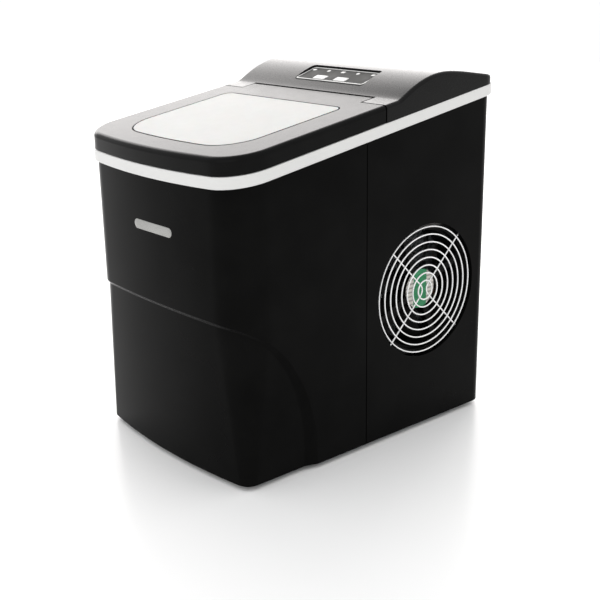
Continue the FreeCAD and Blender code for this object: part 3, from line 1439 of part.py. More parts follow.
def make_pump():
    """Submerged pump on the tub's floor, with a cavity for its impeller and an outlet stub."""
    x, y = "pump_side", "pump_depth"
    base = "tub_floor + 0.05"
    case = rod("pump_case", "pump_radius", "pump_height", (x, y, base))
    stub = rod("pump_stub", "6", "8", (x + " + pump_outlet", y, "tub_floor + 26"))
    bridge = box("pump_bridge", (x, y + " - 5", "tub_floor + 26"), ("pump_outlet + 2", "10", "8"))
    cavity = rod("pump_cavity", "13.5", "11", (x, y, "tub_floor + 3"))
    inlet = rod("pump_inlet", "5", "4", (x, y, "tub_floor - 0.5"))
    window = box("pump_window", (x + " - pump_radius - 1", y + " - 4", "tub_floor + 4"), ("12", "8", "8"))
    shaft = rod("pump_shaft_hole", "1.55", "12", (x, y, "tub_floor + 13"))
    cut("pump_housing", fuse("pump_body", [case, stub, bridge]), [cavity, inlet, window, shaft])
    wheel = rod("impeller_wheel", "impeller_radius", "2", (x, y, "tub_floor + 5"))
    axle = rod("impeller_axle", "1.5", "18", (x, y, "tub_floor + 5"))
    half, length, level = " - (impeller_radius - 1)", "2 * (impeller_radius - 1)", "tub_floor + 7"
    along = box("impeller_vane_along", (x + half, y + " - 0.7", level), (length, "1.4", "5"))
    across = box("impeller_vane_across", (x + " - 0.7", y + half, level), ("1.4", length, "5"))
    fuse("pump_impeller", [wheel, axle, across, along])


def pump_outlet_side():
    return mm.pump_side + mm.pump_outlet


def make_water_hose():
    x, y = pump_outlet_side(), mm.pump_depth
    start = mm.tub_floor + 34.1
    points = [(x, y, start), (x, y, mm.hose_level), (x - mm.hose_reach, y, mm.hose_level)]
    plain("water_hose", pipe(points, 8.0, mm.hose_radius, mm.hose_bore))


def make_drain():
    """Elbow from the tub's floor to the left side, and its pull-out plug."""
    top = mm.tub_floor - mm.tub_wall
    x, y, z = mm.drain_side, mm.drain_depth, mm.drain_level
    side = -mm.trim_width / 2 + 11.0
    plain("drain_tube", pipe([(x, y, top), (x, y, z), (side, y, z)], 9.0, mm.drain_radius, mm.drain_bore))
    plug = new_body("drain_plug")
    outline = sketch(plug, "plug_outline", "XY_Plane", "drain_level")
    stem_end, seat_face, shoulder, cap_face = ["-trim_width / 2 + %s" % u for u in (26, 10.7, 7.4, 6.4)]
    middle, stem, rim = "drain_depth", "drain_depth + drain_bore - 0.4", "drain_depth + drain_cap"
    points = [
        (stem_end, middle), (stem_end, stem), (seat_face, stem), (seat_face, rim),
        (shoulder, rim), (cap_face, rim + " - 1"), (cap_face, middle),
    ]
    start = [(-95, 0), (-95, 4), (-110, 4), (-110, 9), (-113.6, 9), (-114.6, 8), (-114.6, 0)]
    polygon(outline, points, [(u, v - 110) for u, v in start])
    turned = body_axis(plug, "PartDesign::Line", "plug_axis", ("0", "drain_depth", "drain_level"))
    spin = feature(plug, "Revolution", "plug_turned", outline)
    spin.ReferenceAxis = (turned, [""])
    spin.Angle = 360
    doc.recompute()


def body_axis(body, kind, name, place):
    """A datum line along X through three formulas."""
    line = body.newObject(kind, name)
    line.Placement = Placement(V(0, 0, 0), ALONG_X)
    bind(line, **{"Placement.Base.x": place[0], "Placement.Base.y": place[1], "Placement.Base.z": place[2]})
    return line


# ---------------------------------------------------------------- compressor, condenser, fan


def compressor_feet():
    spread = mm.mount_spread
    return [(side * spread, along * spread) for side in (-1, 1) for along in (-1, 1)]


def make_compressor():
    """Welded can on a foot plate, with a terminal box and three stubs."""
    x, y = mm.compressor_side, mm.compressor_depth
    low, high, radius = mm.compressor_low, mm.compressor_high, mm.compressor_radius
    can = Part.makeCylinder(radius, high - low, V(x, y, low))
    rims = [e for e in can.Edges if e.Closed]
    can = can.makeFillet(mm.compressor_edge, rims)
    seam = Part.makeCylinder(radius + 2, 5, V(x, y, (low + high) / 2))
    width, thick = mm.plate_width, mm.plate_thick
    plate = Part.makeBox(width, width, thick, V(x - width / 2, y - width / 2, low - thick))
    corners = [e for e in plate.Edges if abs(e.Vertexes[0].Z - e.Vertexes[1].Z) > 1]
    plate = plate.makeFillet(mm.plate_corner, corners)
    saddle = Part.makeCylinder(radius - 10, 6, V(x, y, low - 2))
    stubs = [Part.makeCylinder(4.2, 14, V(x + side * mm.stub_spread, y, high - 10)) for side in (-1, 1)]
    terminals = Part.makeBox(30, 10, 34, V(x - 15, y - radius - 6, low + 50))
    whole = can.fuse([seam, plate, saddle, terminals] + stubs)
    for dx, dy in compressor_feet():
        whole = whole.cut(Part.makeCylinder(mm.grommet_neck + 0.1, 12, V(x + dx, y + dy, low - 8)))
    plain("compressor", whole)


def make_compressor_mounts():
    base = mm.body_base + mm.pan_floor
    x, y = mm.compressor_side, mm.compressor_depth
    top = mm.compressor_low - mm.plate_thick
    grommets = []
    bolts = []
    for dx, dy in compressor_feet():
        centre = V(x + dx, y + dy, base)
        sleeve = Part.makeCylinder(mm.grommet_radius, top - base - 0.05, centre)
        neck = Part.makeCylinder(mm.grommet_neck, top + 4 - base, centre)
        bore = Part.makeCylinder(mm.bolt_radius + 0.1, 60, centre - V(0, 0, 5))
        grommets.append(sleeve.fuse(neck).cut(bore))
        bolt = Part.makeCylinder(mm.bolt_radius, top + 5 - base, centre)
        head = Part.makeCylinder(mm.bolt_head, 3, centre + V(0, 0, top + 4.05 - base))
        bolts.append(bolt.fuse(head))
    plain("compressor_grommets", Part.makeCompound(grommets))
    plain("compressor_bolts", Part.makeCompound(bolts))


CONDENSER_ROWS = 6
FRAME_THICK = 1.2


def condenser_runs():
    return [mm.condenser_low + row * mm.condenser_pitch for row in range(CONDENSER_ROWS)]


def make_condenser():
    """Serpentine tube through a pack of fins between two plates that stand on the base pan."""
    x = mm.condenser_side
    front = mm.condenser_front
    rear = mm.condenser_rear
    runs = condenser_runs()
    near, far = front - 6.0 - mm.condenser_tube, rear + 6.0
    points = [(x, far, runs[-1])]
    turn_rear = rear + 14.0
    for index, level in enumerate(reversed(runs)):
        end = near if index % 2 == 0 else turn_rear
        points.append((x, end, level))
        if index + 1 < len(runs):
            points.append((x, end, runs[len(runs) - 2 - index]))
    points[-1] = (x, far, runs[0])
    plain("condenser_coil", pipe(points, mm.condenser_pitch / 2 - 0.1, mm.condenser_tube))
    low = runs[0] - 8
    height = runs[-1] - runs[0] + 16
    half = mm.condenser_half
    plates = []
    count = int((rear - front - 8) / mm.fin_pitch)
    for index in range(count + 1):
        y = front + 4 + index * mm.fin_pitch
        plates.append(Part.makeBox(2 * half, mm.fin_thick, height, V(x - half, y, low)))
    length = count * mm.fin_pitch + mm.fin_thick

    def along_runs(radius, start, reach):
        return [Part.makeCylinder(radius, reach, V(x, start, z), V(0, 1, 0)) for z in runs]

    bore = mm.condenser_tube + 0.05
    sleeves = along_runs(mm.condenser_tube + 0.8, front + 4, length)
    bores = along_runs(bore, front - 6, length + 20)
    plain("condenser_fins", plates[0].fuse(plates[1:] + sleeves).cut(bores))
    base = mm.body_base + mm.pan_floor
    frames = []
    for y in (front, rear - FRAME_THICK):
        plate = Part.makeBox(2 * half, FRAME_THICK, low + height - base, V(x - half, y, base))
        frames.append(plate.cut(along_runs(bore, y - 3, 8)))
    plain("condenser_frame", Part.makeCompound(frames))


SHROUD_FIT = 0.1


def fan_ring(outer, inner, low, high):
    """A ring about the fan's axis between two planes."""
    base = V(low, mm.fan_depth, mm.fan_level)
    ring = Part.makeCylinder(outer, high - low, base, V(1, 0, 0))
    if inner:
        ring = ring.cut(Part.makeCylinder(inner, high - low + 2, base - V(1, 0, 0), V(1, 0, 0)))
    return ring


def fan_corner_bars(radius, low, high):
    """Bars along the fan's axis at its four screws."""
    spread = mm.fan_screw_spread
    corners = [(y, z) for y in (-spread, spread) for z in (-spread, spread)]
    starts = [V(low, mm.fan_depth + y, mm.fan_level + z) for y, z in corners]
    return [Part.makeCylinder(radius, high - low, start, V(1, 0, 0)) for start in starts]


def fan_square(low, high):
    corner = V(low, mm.fan_depth - mm.fan_half, mm.fan_level - mm.fan_half)
    block = Part.makeBox(high - low, 2 * mm.fan_half, 2 * mm.fan_half, corner)
    edges = [e for e in block.Edges if abs(e.Vertexes[0].X - e.Vertexes[1].X) > 1]
    return block.makeFillet(6, edges)


def make_fan():
    """Fan frame with its hub and struts, rotor, label, shroud and screws."""
    low, high = mm.fan_inner, mm.fan_outer
    strut_low = high - mm.strut_thick - 1
    screw_bore = mm.fan_screw + 0.2
    block = fan_square(low, high).cut(fan_ring(mm.fan_bore, 0, low - 1, high + 1))
    hub = fan_ring(mm.fan_hub, 0, strut_low, high)
    struts = []
    for turn in (22.5, 112.5):
        corner = V(high - mm.strut_thick, mm.fan_depth - mm.strut_width / 2, mm.fan_level - mm.fan_bore - 2)
        bar = Part.makeBox(mm.strut_thick, mm.strut_width, 2 * mm.fan_bore + 4, corner)
        bar.rotate(V(0, mm.fan_depth, mm.fan_level), V(1, 0, 0), turn)
        struts.append(bar)
    frame = block.fuse([hub] + struts)
    bore = fan_ring(mm.fan_shaft + mm.pin_clearance, 0, strut_low - 1, high - 1)
    plain("fan_frame", frame.cut([bore] + fan_corner_bars(screw_bore, low - 1, high + 1)))
    hub_low = low + 2
    rotor = fan_ring(mm.fan_hub - 0.5, 0, hub_low, strut_low - 0.8)
    rotor = rotor.fuse(fan_ring(mm.fan_shaft, 0, hub_low, high - 1.3))
    chord, thick, root = mm.blade_chord, 2.0, 3.0
    blade = Part.makeBox(
        chord, thick, mm.fan_blade - mm.fan_hub + root, V(-chord / 2, -thick / 2, mm.fan_hub - root)
    )
    blade.rotate(V(0, 0, 0), V(0, 0, 1), mm.blade_pitch)
    blade.translate(V((hub_low + strut_low) / 2 - 0.3, mm.fan_depth, mm.fan_level))
    for index in range(int(mm.fan_blades)):
        rotor = rotor.fuse(blade)
        blade = blade.copy()
        blade.rotate(V(0, mm.fan_depth, mm.fan_level), V(1, 0, 0), 360 / mm.fan_blades)
    plain("fan_rotor", rotor)
    plain("fan_label", fan_ring(mm.fan_hub - 0.5, 0, high, high + 0.25))
    outer = mm.shroud_outer
    plate = fan_square(high, outer).cut(fan_ring(mm.fan_bore + 2, 0, high - 1, outer + 1))
    rim_inner = mm.fan_hole + mm.shroud_rim
    rim_end = mm.trim_width / 2 - mm.trim_overhang - mm.shell_wall - SHROUD_FIT
    rim = fan_ring(rim_inner + mm.shroud_rim_wall, rim_inner, outer - 1, rim_end)
    lip_end = mm.seam_depth + mm.seam_gap / 2 + LIP_ROOT
    rim = rim.common(envelope(mm.shell_wall + SHROUD_FIT)).common(depth_block(lip_end + SHROUD_FIT, FAR))
    rim = rim.cut(fan_corner_bars(mm.fan_screw_head + 0.4, outer, outer + 5))
    plain("fan_shroud", plate.fuse(rim).cut(fan_corner_bars(screw_bore, high - 1, outer + 1)))
    shanks = fan_corner_bars(mm.fan_screw, low + 4, outer + 0.5)
    heads = fan_corner_bars(mm.fan_screw_head, outer, outer + 1.6)
    screws = [shank.fuse(head) for shank, head in zip(shanks, heads)]
    plain("fan_screws", Part.makeCompound(screws))


def make_fan_guard():
    """Eight rings welded to two V-bent wires that meet back to back near the middle."""
    centre = V(mm.guard_plane, mm.fan_depth, mm.fan_level)
    rings = []
    for index in range(8):
        radius = mm.guard_radius - index * mm.guard_pitch
        rings.append(Part.makeTorus(radius, mm.guard_wire, centre, V(1, 0, 0)))
    reach = mm.guard_reach * math.sqrt(0.5)
    wires = []
    for side in (-1, 1):
        x = mm.guard_plane - mm.guard_step
        top = (x, mm.fan_depth + side * reach, mm.fan_level + reach)
        bottom = (x, mm.fan_depth + side * reach, mm.fan_level - reach)
        lead = side * (mm.guard_apex - mm.guard_bend * (math.sqrt(2) - 1))
        apex = (x, mm.fan_depth + lead, mm.fan_level)
        wires.append(pipe([top, apex, bottom], mm.guard_bend, mm.guard_wire))
    plain("fan_guard", rings[0].fuse(rings[1:] + wires))


# ---------------------------------------------------------------- electrics


def make_transformer():
    """Laminated core with its winding, on the base pan."""
    x, y = "transformer_side", "transformer_depth"
    core = box("transformer_core", (x, y, PAN_TOP), ("34", "38", "32"))
    winding = box("transformer_winding", (x + " - 4", y + " + 7", PAN_TOP + " + 6"), ("42", "24", "20"))
    fuse("transformer", [core, winding])


def make_cord_gland():
    """Bush in the rear wall: a flange on each side of it and a bore for the cord."""
    wall_out = BODY_REAR
    wall_in = "(%s - shell_wall)" % BODY_REAR
    side, level = "gland_side", "gland_level"
    inside = (side, wall_in + " - 3", level)
    outer = rod("gland_outer", "gland_flange", "1.9", (side, wall_out, level), ALONG_Y)
    neck = rod("gland_neck", "gland_hole - 0.1", "shell_wall + 4", inside, ALONG_Y)
    inner = rod("gland_inner", "gland_flange", "3", inside, ALONG_Y)
    bore = rod("gland_bore_tool", "gland_bore", "20", (side, wall_in + " - 8", level), ALONG_Y)
    cut("cord_gland", fuse("gland_body", [outer, neck, inner]), [bore])


MAKERS = (
    make_base_pan, make_feet, make_front_housing, make_rear_housing, make_case_screws, make_trim_band,
    make_front_badge, make_lid_frame, make_lid_window, make_lid_inner_frame, make_hinge_pins,
    make_control_cover, make_control_panel, make_buttons, make_indicator_lenses, make_display_board,
    make_control_board, make_inner_liner, make_insulation, make_ice_chute, make_ice_basket,
    make_water_tray, make_tray_shafts, make_tray_bushes, make_tray_motor, make_ice_shovel,
    make_evaporator_tube, make_freezing_fingers, make_refrigerant_pipes, make_hot_gas_valve,
    make_filter_drier, make_ice_level_sensors, make_float, make_pump, make_water_hose, make_drain,
    make_compressor, make_compressor_mounts, make_condenser, make_fan, make_fan_guard, make_transformer,
    make_cord_gland,
)

NODES = (
    "base_pan", "rubber_feet", "front_housing", "rear_housing", "case_screws", "trim_band",
    "front_badge", "lid_frame", "lid_window", "lid_inner_frame", "hinge_pins", "control_cover",
    "control_panel", "button_select", "button_power", "indicator_lenses", "display_board",
    "control_board", "inner_liner", "insulation", "ice_chute", "ice_basket", "water_tray",
    "tray_shafts", "tray_bushes", "tray_motor", "ice_shovel", "evaporator_tube", "freezing_fingers",
    "discharge_pipe", "suction_pipe", "liquid_line", "capillary_tube", "hot_gas_pipe", "hot_gas_valve",
    "filter_drier", "ice_level_sensors", "float_stem", "level_float", "pump_housing", "pump_impeller",
    "water_hose", "drain_tube", "drain_plug", "compressor", "compressor_grommets", "compressor_bolts",
    "condenser_coil", "condenser_fins", "condenser_frame", "fan_frame", "fan_rotor", "fan_label",
    "fan_shroud", "fan_screws", "fan_guard", "transformer", "cord_gland",
)


def check_document():
    """Stop if any object failed or any sub-part's shape is unusable."""
    for item in doc.Objects:
        for state in ("Invalid", "Error"):
            if state in item.State:
                raise RuntimeError("%s is %s" % (item.Name, state))
    for name in NODES:
        shape = doc.getObject(name).Shape
        if shape.isNull() or not shape.isValid():
            raise RuntimeError("%s has no valid shape" % name)
        if not shape.Solids:
            raise RuntimeError("%s has no solid" % name)


def write_parts():
    os.makedirs("parts", exist_ok=True)
    for name in NODES:
        item = doc.getObject(name)
        item.Label = name
        item.Shape.exportStep("parts/%s.step" % name)


for maker in MAKERS:
    maker()
doc.recompute()
check_document()
write_parts()
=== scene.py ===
"""Countertop ice maker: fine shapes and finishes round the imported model, laid out as a Blender add-on."""

import json
import math

import bmesh
import bpy
from bpy.props import FloatProperty, FloatVectorProperty, IntProperty, PointerProperty
from mathutils import Matrix, Vector


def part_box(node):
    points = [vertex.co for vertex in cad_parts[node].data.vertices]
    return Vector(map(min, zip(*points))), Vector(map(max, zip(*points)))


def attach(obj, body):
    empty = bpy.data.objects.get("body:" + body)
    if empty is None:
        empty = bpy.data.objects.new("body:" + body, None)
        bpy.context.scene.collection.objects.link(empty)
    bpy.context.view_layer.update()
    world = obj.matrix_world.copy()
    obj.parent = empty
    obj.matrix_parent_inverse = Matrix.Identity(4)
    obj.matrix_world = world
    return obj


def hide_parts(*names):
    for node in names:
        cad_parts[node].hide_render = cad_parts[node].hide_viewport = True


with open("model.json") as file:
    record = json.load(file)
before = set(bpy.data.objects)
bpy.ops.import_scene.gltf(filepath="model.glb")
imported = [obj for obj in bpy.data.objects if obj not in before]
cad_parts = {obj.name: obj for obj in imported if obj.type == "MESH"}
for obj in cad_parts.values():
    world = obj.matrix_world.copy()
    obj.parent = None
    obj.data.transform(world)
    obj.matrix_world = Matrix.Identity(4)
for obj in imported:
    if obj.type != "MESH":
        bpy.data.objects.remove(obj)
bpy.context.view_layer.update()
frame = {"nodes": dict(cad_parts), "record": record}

bl_info = {
    "name": "Ice Maker Finishes",
    "version": (1, 0, 0),
    "blender": (4, 5, 0),
    "location": "3D View > Sidebar > Ice Maker",
    "description": "Builds the fine shapes and finishes of a countertop ice maker",
    "category": "Object",
}

ROOT = "machine"

BAND_LOW, BAND_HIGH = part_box("trim_band")
WIDTH = BAND_HIGH.x - BAND_LOW.x
DEPTH = BAND_HIGH.y - BAND_LOW.y
SHELL_LOW, SHELL_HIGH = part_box("front_housing")
OVERHANG = BAND_HIGH.x - SHELL_HIGH.x
LID_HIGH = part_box("lid_frame")[1]
COVER_LOW, COVER_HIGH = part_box("control_cover")
PANE_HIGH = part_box("lid_window")[1]

EAR_STEPS = 5  # columns of faces in each ear of the hood beside the lid's tongue
CREASE_OUT = 0.4  # share of the crease's width that lies outside the recess curve
TAIL_FALL = 0.13  # fall of the cover's straight tail, per unit of depth
WAVE_PERIOD = 0.314  # length of one wave of the wave texture at a scale of one


# ---------------------------------------------------------------- settings


def length(name, default, note):
    return FloatProperty(name=name, description=note, default=default, unit="LENGTH", precision=5)


def number(name, default, note):
    return FloatProperty(name=name, description=note, default=default)


def degrees(name, default, note):
    return FloatProperty(name=name, description=note, default=math.radians(default), subtype="ANGLE")


def colour(name, default, note):
    return FloatVectorProperty(name=name, description=note, default=default, subtype="COLOR", min=0, max=1)


class BodySettings(bpy.types.PropertyGroup):
    """Sizes that the housings, the band, the lid and the cover share."""

    slope: number("Slope", 0.1634, "Rise of the band towards the rear, per unit of depth")
    bow: length("Front Bow", 0.01107, "How far the front bows out over the full width")
    front_corner: length("Front Corner", 0.038, "Radius of the two front upright corners")
    rear_corner: length("Rear Corner", 0.0136, "Radius of the two rear upright corners")
    foot_corner: length("Foot Corner", 0.013, "Radius of the front corners at the foot")
    wall: length("Wall", 0.0025, "Wall of the housings")
    edge: length("Edge", 0.0004, "Rounding of the housings' edges")
    recess_rise: length("Recess Rise", 0.157, "Height of the lower recess over the floor")
    recess_back: length("Recess Back", 0.110, "Half axis of the recess curve along the depth")
    recess_foot: length("Recess Foot", 0.015, "Height where the recess curve turns upright")
    recess_front: length("Recess Front", 0.020, "How far the curve's centre lies before the front")
    inset_top: length("Inset At Top", 0.0018, "Inset of the recess at its top")
    inset_foot: length("Inset At Foot", 0.0045, "Inset of the recess at its foot")
    crease: number("Crease", 1.7, "Width of the recess's soft step, in insets")


class LidSettings(bpy.types.PropertyGroup):
    """Sizes of the lid and its window."""

    edge: length("Edge", 0.0045, "Rounding of the lid's upper edge")
    shoulder: length("Shoulder", 0.0139, "Depth where the lid's shoulders end")
    tongue: length("Tongue", 0.0869, "Half width of the rear tongue")
    rear_edge: length("Rear Edge", 0.0014, "Rounding of the tongue's rear edge")
    rear_gap: length("Rear Gap", 0.0007, "How far the tongue stays before the lid's rear")
    lift: length("Lift", 0.0006, "Gap between the band and the lid's skirt")
    wall: length("Wall", 0.003, "Wall of the lid's skirt")
    pane: length("Pane", 0.003, "Thickness of the window's pane")
    window_front_corner: length("Window Front Corner", 0.038, "Radius of the window's front corners")
    window_rear_corner: length("Window Rear Corner", 0.010, "Radius of the window's rear corners")
    window_gap: length("Window Gap", 0.0005, "Gap round the window")


class CoverSettings(bpy.types.PropertyGroup):
    """Sizes of the control cover and its panel."""

    edge: length("Edge", 0.0035, "Rounding of the cover's upper edges")
    rise_start: length("Rise Start", 0.031, "Depth where the cover starts to rise")
    crest_depth: length("Crest Depth", 0.094, "Depth of the cover's crest")
    rise_lead: number("Rise Lead", 0.12, "Share of its run where the curve follows the lid's plane")
    crest_lead: number("Crest Lead", 0.55, "Share of its run where the curve is level before the crest")
    tail_depth: length("Tail Depth", 0.156, "Depth where the cover's top runs straight")
    tail_level: length("Tail Level", 0.3419, "Height of the cover's top there")
    slot_half: length("Slot Half", 0.0883, "Half width of the slot for the lid's tongue")
    slot_rear: length("Slot Rear", 0.0326, "Depth of that slot's rear wall")
    wall: length("Wall", 0.0026, "Wall of the cover")
    panel_width: length("Panel Width", 0.098, "Width of the panel")
    panel_length: length("Panel Length", 0.030, "Length of the panel along its slope")
    panel_thick: length("Panel Thickness", 0.002, "Thickness of the panel")
    panel_corner: length("Panel Corner", 0.004, "Radius of the panel's corners")
    panel_tilt: degrees("Panel Tilt", 20.3, "Tilt of the panel")
    panel_dip: degrees("Panel Dip", 2.8, "How far the panel's rear is laid down in its recess")
    panel_sink: length("Panel Sink", 0.0004, "How deep the panel's lower edge lies")
    button_row: length("Button Row", -0.0076, "Buttons' centre from the panel's centre")
    lens_row: length("Lens Row", 0.0080, "Marks' centre from the panel's centre")
    lens_pitch: length("Lens Pitch", 0.021, "Pitch of the marks")


class FanSettings(bpy.types.PropertyGroup):
    """Sizes of the fan and its guard."""

    blades: IntProperty(name="Blades", description="Number of blades", default=7, min=3)
    rings: IntProperty(name="Rings", description="Number of guard rings", default=8, min=2)
    outer_ring: length("Outer Ring", 0.0625, "Radius of the guard's outer ring")
    ring_pitch: length("Ring Pitch", 0.00757, "Pitch of the guard's rings")
    hub: length("Hub", 0.0195, "Radius of the wheel's hub")
    wire: length("Wire", 0.00075, "Radius of the guard's wire")
    bend: length("Bend", 0.008, "Bend radius of the two V wires")
    apex: length("Apex", 0.003, "V wires' apexes from the fan's axis")


class FinishSettings(bpy.types.PropertyGroup):
    """Colours that a maker would change."""

    black: colour("Black", (0.0028, 0.0028, 0.0027), "Gloss black of the casings")
    band: colour("Band", (0.66, 0.66, 0.65), "White of the band, the keys and the marks")
    liner: colour("Liner", (0.78, 0.79, 0.78), "White of the liner")
    milk: colour("Milk", (0.47, 0.47, 0.46), "Milky white of the window")
    silver: colour("Silver", (0.32, 0.32, 0.31), "Silver of the badge")
    panel: colour("Panel", (0.060, 0.060, 0.058), "Grey of the control panel")
    label: colour("Label", (0.010, 0.23, 0.085), "Green of the fan's label")
    wire: colour("Wire", (0.86, 0.86, 0.86), "Plated wire of the guard")
    copper: colour("Copper", (0.80, 0.36, 0.20), "Copper of the pipes")


class StageSettings(bpy.types.PropertyGroup):
    """Camera and light."""

    camera: FloatVectorProperty(
        name="Camera", description="Camera's place", subtype="TRANSLATION",
        default=(0.7804, -0.6477, 0.4486),
    )
    azimuth: degrees("Azimuth", 49.756, "Camera's turn")
    pitch: degrees("Pitch", 17.914, "Camera's dip")
    roll: degrees("Roll", -0.9365, "Camera's roll")
    lens: number("Lens", 63.14, "Focal length in millimetres")
    sky: number("Sky", 1.08, "Strength of the surrounding light")
    back: number("Back Light", 3.7, "Radiance of the softbox behind")
    fill: number("Fill Light", 0.6, "Radiance of the softbox before")


GROUPS = {
    "ice_body": BodySettings,
    "ice_lid": LidSettings,
    "ice_cover": CoverSettings,
    "ice_fan": FanSettings,
    "ice_finish": FinishSettings,
    "ice_stage": StageSettings,
}


def setting(group):
    return getattr(bpy.context.scene, "ice_" + group)


def tone(name):
    """One of the finish colours."""
    return tuple(getattr(setting("finish"), name))


# ---------------------------------------------------------------- node trees


class Tree:
    """A material's node tree round one Principled shader."""

    def __init__(self, name):
        self.material = bpy.data.materials.new(name)
        self.material.use_nodes = True
        self.nodes = self.material.node_tree.nodes
        self.links = self.material.node_tree.links
        self.nodes.clear()
        output = self.nodes.new("ShaderNodeOutputMaterial")
        self.shader = self.nodes.new("ShaderNodeBsdfPrincipled")
        self.links.new(self.shader.outputs["BSDF"], output.inputs["Surface"])
        self.place = self.nodes.new("ShaderNodeTexCoord").outputs["Object"]

    def fix(self, **sockets):
        """Set numbers and colours that are the same all over the surface."""
        for name, value in sockets.items():
            self.shader.inputs[name.replace("_", " ")].default_value = value
        return self

    def drive(self, socket, value):
        """Let a node set one of the shader's sockets."""
        self.links.new(value, self.shader.inputs[socket])
        return self

    def stretch(self, x, y, z):
        """Object coordinates with a scale for each axis."""
        node = self.nodes.new("ShaderNodeMapping")
        node.inputs["Scale"].default_value = (x, y, z)
        self.links.new(self.place, node.inputs["Vector"])
        return node.outputs["Vector"]

    def noise(self, size, detail=3.0, rough=0.5, place=None):
        """Cloudy grain whose features are about this large."""
        node = self.nodes.new("ShaderNodeTexNoise")
        node.inputs["Scale"].default_value = 1.0 / size
        node.inputs["Detail"].default_value = detail
        node.inputs["Roughness"].default_value = rough
        self.links.new(place or self.place, node.inputs["Vector"])
        return node.outputs["Fac"]

    def cells(self, size):
        """Distance to the middle of round cells of about this size."""
        node = self.nodes.new("ShaderNodeTexVoronoi")
        node.inputs["Scale"].default_value = 1.0 / size
        self.links.new(self.place, node.inputs["Vector"])
        return node.outputs["Distance"]

    def waves(self, size, axis, distortion=0.0):
        """Bands across an axis, one for each size."""
        node = self.nodes.new("ShaderNodeTexWave")
        node.bands_direction = axis
        node.inputs["Scale"].default_value = WAVE_PERIOD / size
        node.inputs["Distortion"].default_value = distortion
        self.links.new(self.place, node.inputs["Vector"])
        return node.outputs["Fac"]

    def ramp(self, value, *stops):
        """Colours along a value: pairs of place and colour."""
        node = self.nodes.new("ShaderNodeValToRGB")
        elements = node.color_ramp.elements
        while len(elements) < len(stops):
            elements.new(0.5)
        for element, (position, tint) in zip(elements, stops):
            element.position = position
            element.color = (*tint, 1.0)
        self.links.new(value, node.inputs["Fac"])
        return node.outputs["Color"]

    def span(self, value, low, high, start=0.3, end=0.7):
        """A number from low to high, as the value goes from start to end."""
        node = self.nodes.new("ShaderNodeMapRange")
        node.inputs["From Min"].default_value = start
        node.inputs["From Max"].default_value = end
        node.inputs["To Min"].default_value = low
        node.inputs["To Max"].default_value = high
        self.links.new(value, node.inputs["Value"])
        return node.outputs["Result"]

    def maths(self, operation, first, second=None):
        """A sum of sockets and numbers."""
        node = self.nodes.new("ShaderNodeMath")
        node.operation = operation
        for socket, value in zip(node.inputs, (first, second)):
            if isinstance(value, (int, float)):
                socket.default_value = value
            elif value is not None:
                self.links.new(value, socket)
        return node.outputs["Value"]

    def axis(self, name):
        """One coordinate of the place."""
        node = self.nodes.new("ShaderNodeSeparateXYZ")
        self.links.new(self.place, node.inputs["Vector"])
        return node.outputs[name]

    def bump(self, height, depth, strength=1.0):
        """Relief of about this depth."""
        node = self.nodes.new("ShaderNodeBump")
        node.inputs["Strength"].default_value = strength
        node.inputs["Distance"].default_value = depth
        self.links.new(height, node.inputs["Height"])
        self.links.new(node.outputs["Normal"], self.shader.inputs["Normal"])
        return self

    def mottle(self, value, tint, spread, start=0.3, end=0.7):
        """Base colour that drifts between a darker and a lighter shade."""
        dark, light = shades(tint, spread)
        return self.drive("Base Color", self.ramp(value, (start, dark), (end, light)))


def shades(tint, spread):
    """A darker and a lighter shade of one colour."""
    return [tuple(min(1.0, c * k) for c in tint) for k in (1.0 - spread, 1.0 + spread)]


def moulded(name, tint, rough, grain=0.0007, depth=0.00002, spread=0.06, specular=0.5, coat=0.0):
    """Moulded plastic: fine grain, faint cloudiness, roughness that varies."""
    tree = Tree(name)
    tree.mottle(tree.noise(0.03, 4.0), tint, spread)
    tree.drive("Roughness", tree.span(tree.noise(0.012, 5.0, 0.6), rough * 0.85, rough * 1.2))
    tree.fix(Specular_IOR_Level=specular, Coat_Weight=coat, Coat_Roughness=0.08)
    return tree.bump(tree.noise(grain, 2.0), depth, 0.5)


def metal(name, tint, rough, brush=(1.0, 1.0, 1.0), depth=0.00001, spread=0.10, grain=0.0006):
    """Metal with a brushed or plated surface."""
    tree = Tree(name)
    lay = tree.noise(grain, 4.0, 0.6, tree.stretch(*brush))
    tree.mottle(tree.noise(0.02, 5.0), tint, spread)
    tree.drive("Roughness", tree.span(lay, rough * 0.7, rough * 1.4))
    tree.fix(Metallic=1.0)
    return tree.bump(lay, depth, 0.6)


def gloss_black(name, specular, rough):
    """Polished black plastic with a faint flow of the mould and dust-fine marks."""
    tree = Tree(name)
    tree.mottle(tree.noise(0.05, 3.0), tone("black"), 0.25, 0.35, 0.65)
    marks = tree.noise(0.0025, 6.0, 0.7)
    tree.drive("Roughness", tree.span(marks, rough * 0.8, rough * 1.3))
    tree.fix(Specular_IOR_Level=specular)
    return tree.bump(tree.noise(0.018, 2.0), 0.00001, 0.25)


def satin_black(name, specular, rough):
    """Finely eroded black plastic that takes a soft sheen."""
    tree = Tree(name)
    tree.mottle(tree.noise(0.04, 4.0), tone("black"), 0.3)
    tree.drive("Roughness", tree.span(tree.noise(0.010, 3.0, 0.5), rough * 0.97, rough * 1.04))
    tree.fix(Specular_IOR_Level=specular)
    return tree.bump(tree.noise(0.0004, 2.0), 0.000003, 0.4)


def milk_pane(name):
    """Translucent white plastic, slightly cloudy."""
    tree = Tree(name)
    tree.mottle(tree.noise(0.05, 3.0), tone("milk"), 0.02)
    tree.drive("Roughness", tree.span(tree.noise(0.008, 4.0), 0.42, 0.50))
    tree.fix(Subsurface_Weight=0.25, Subsurface_Scale=0.004, Specular_IOR_Level=0.06)
    return tree.bump(tree.noise(0.02, 2.0), 0.00003, 0.2)


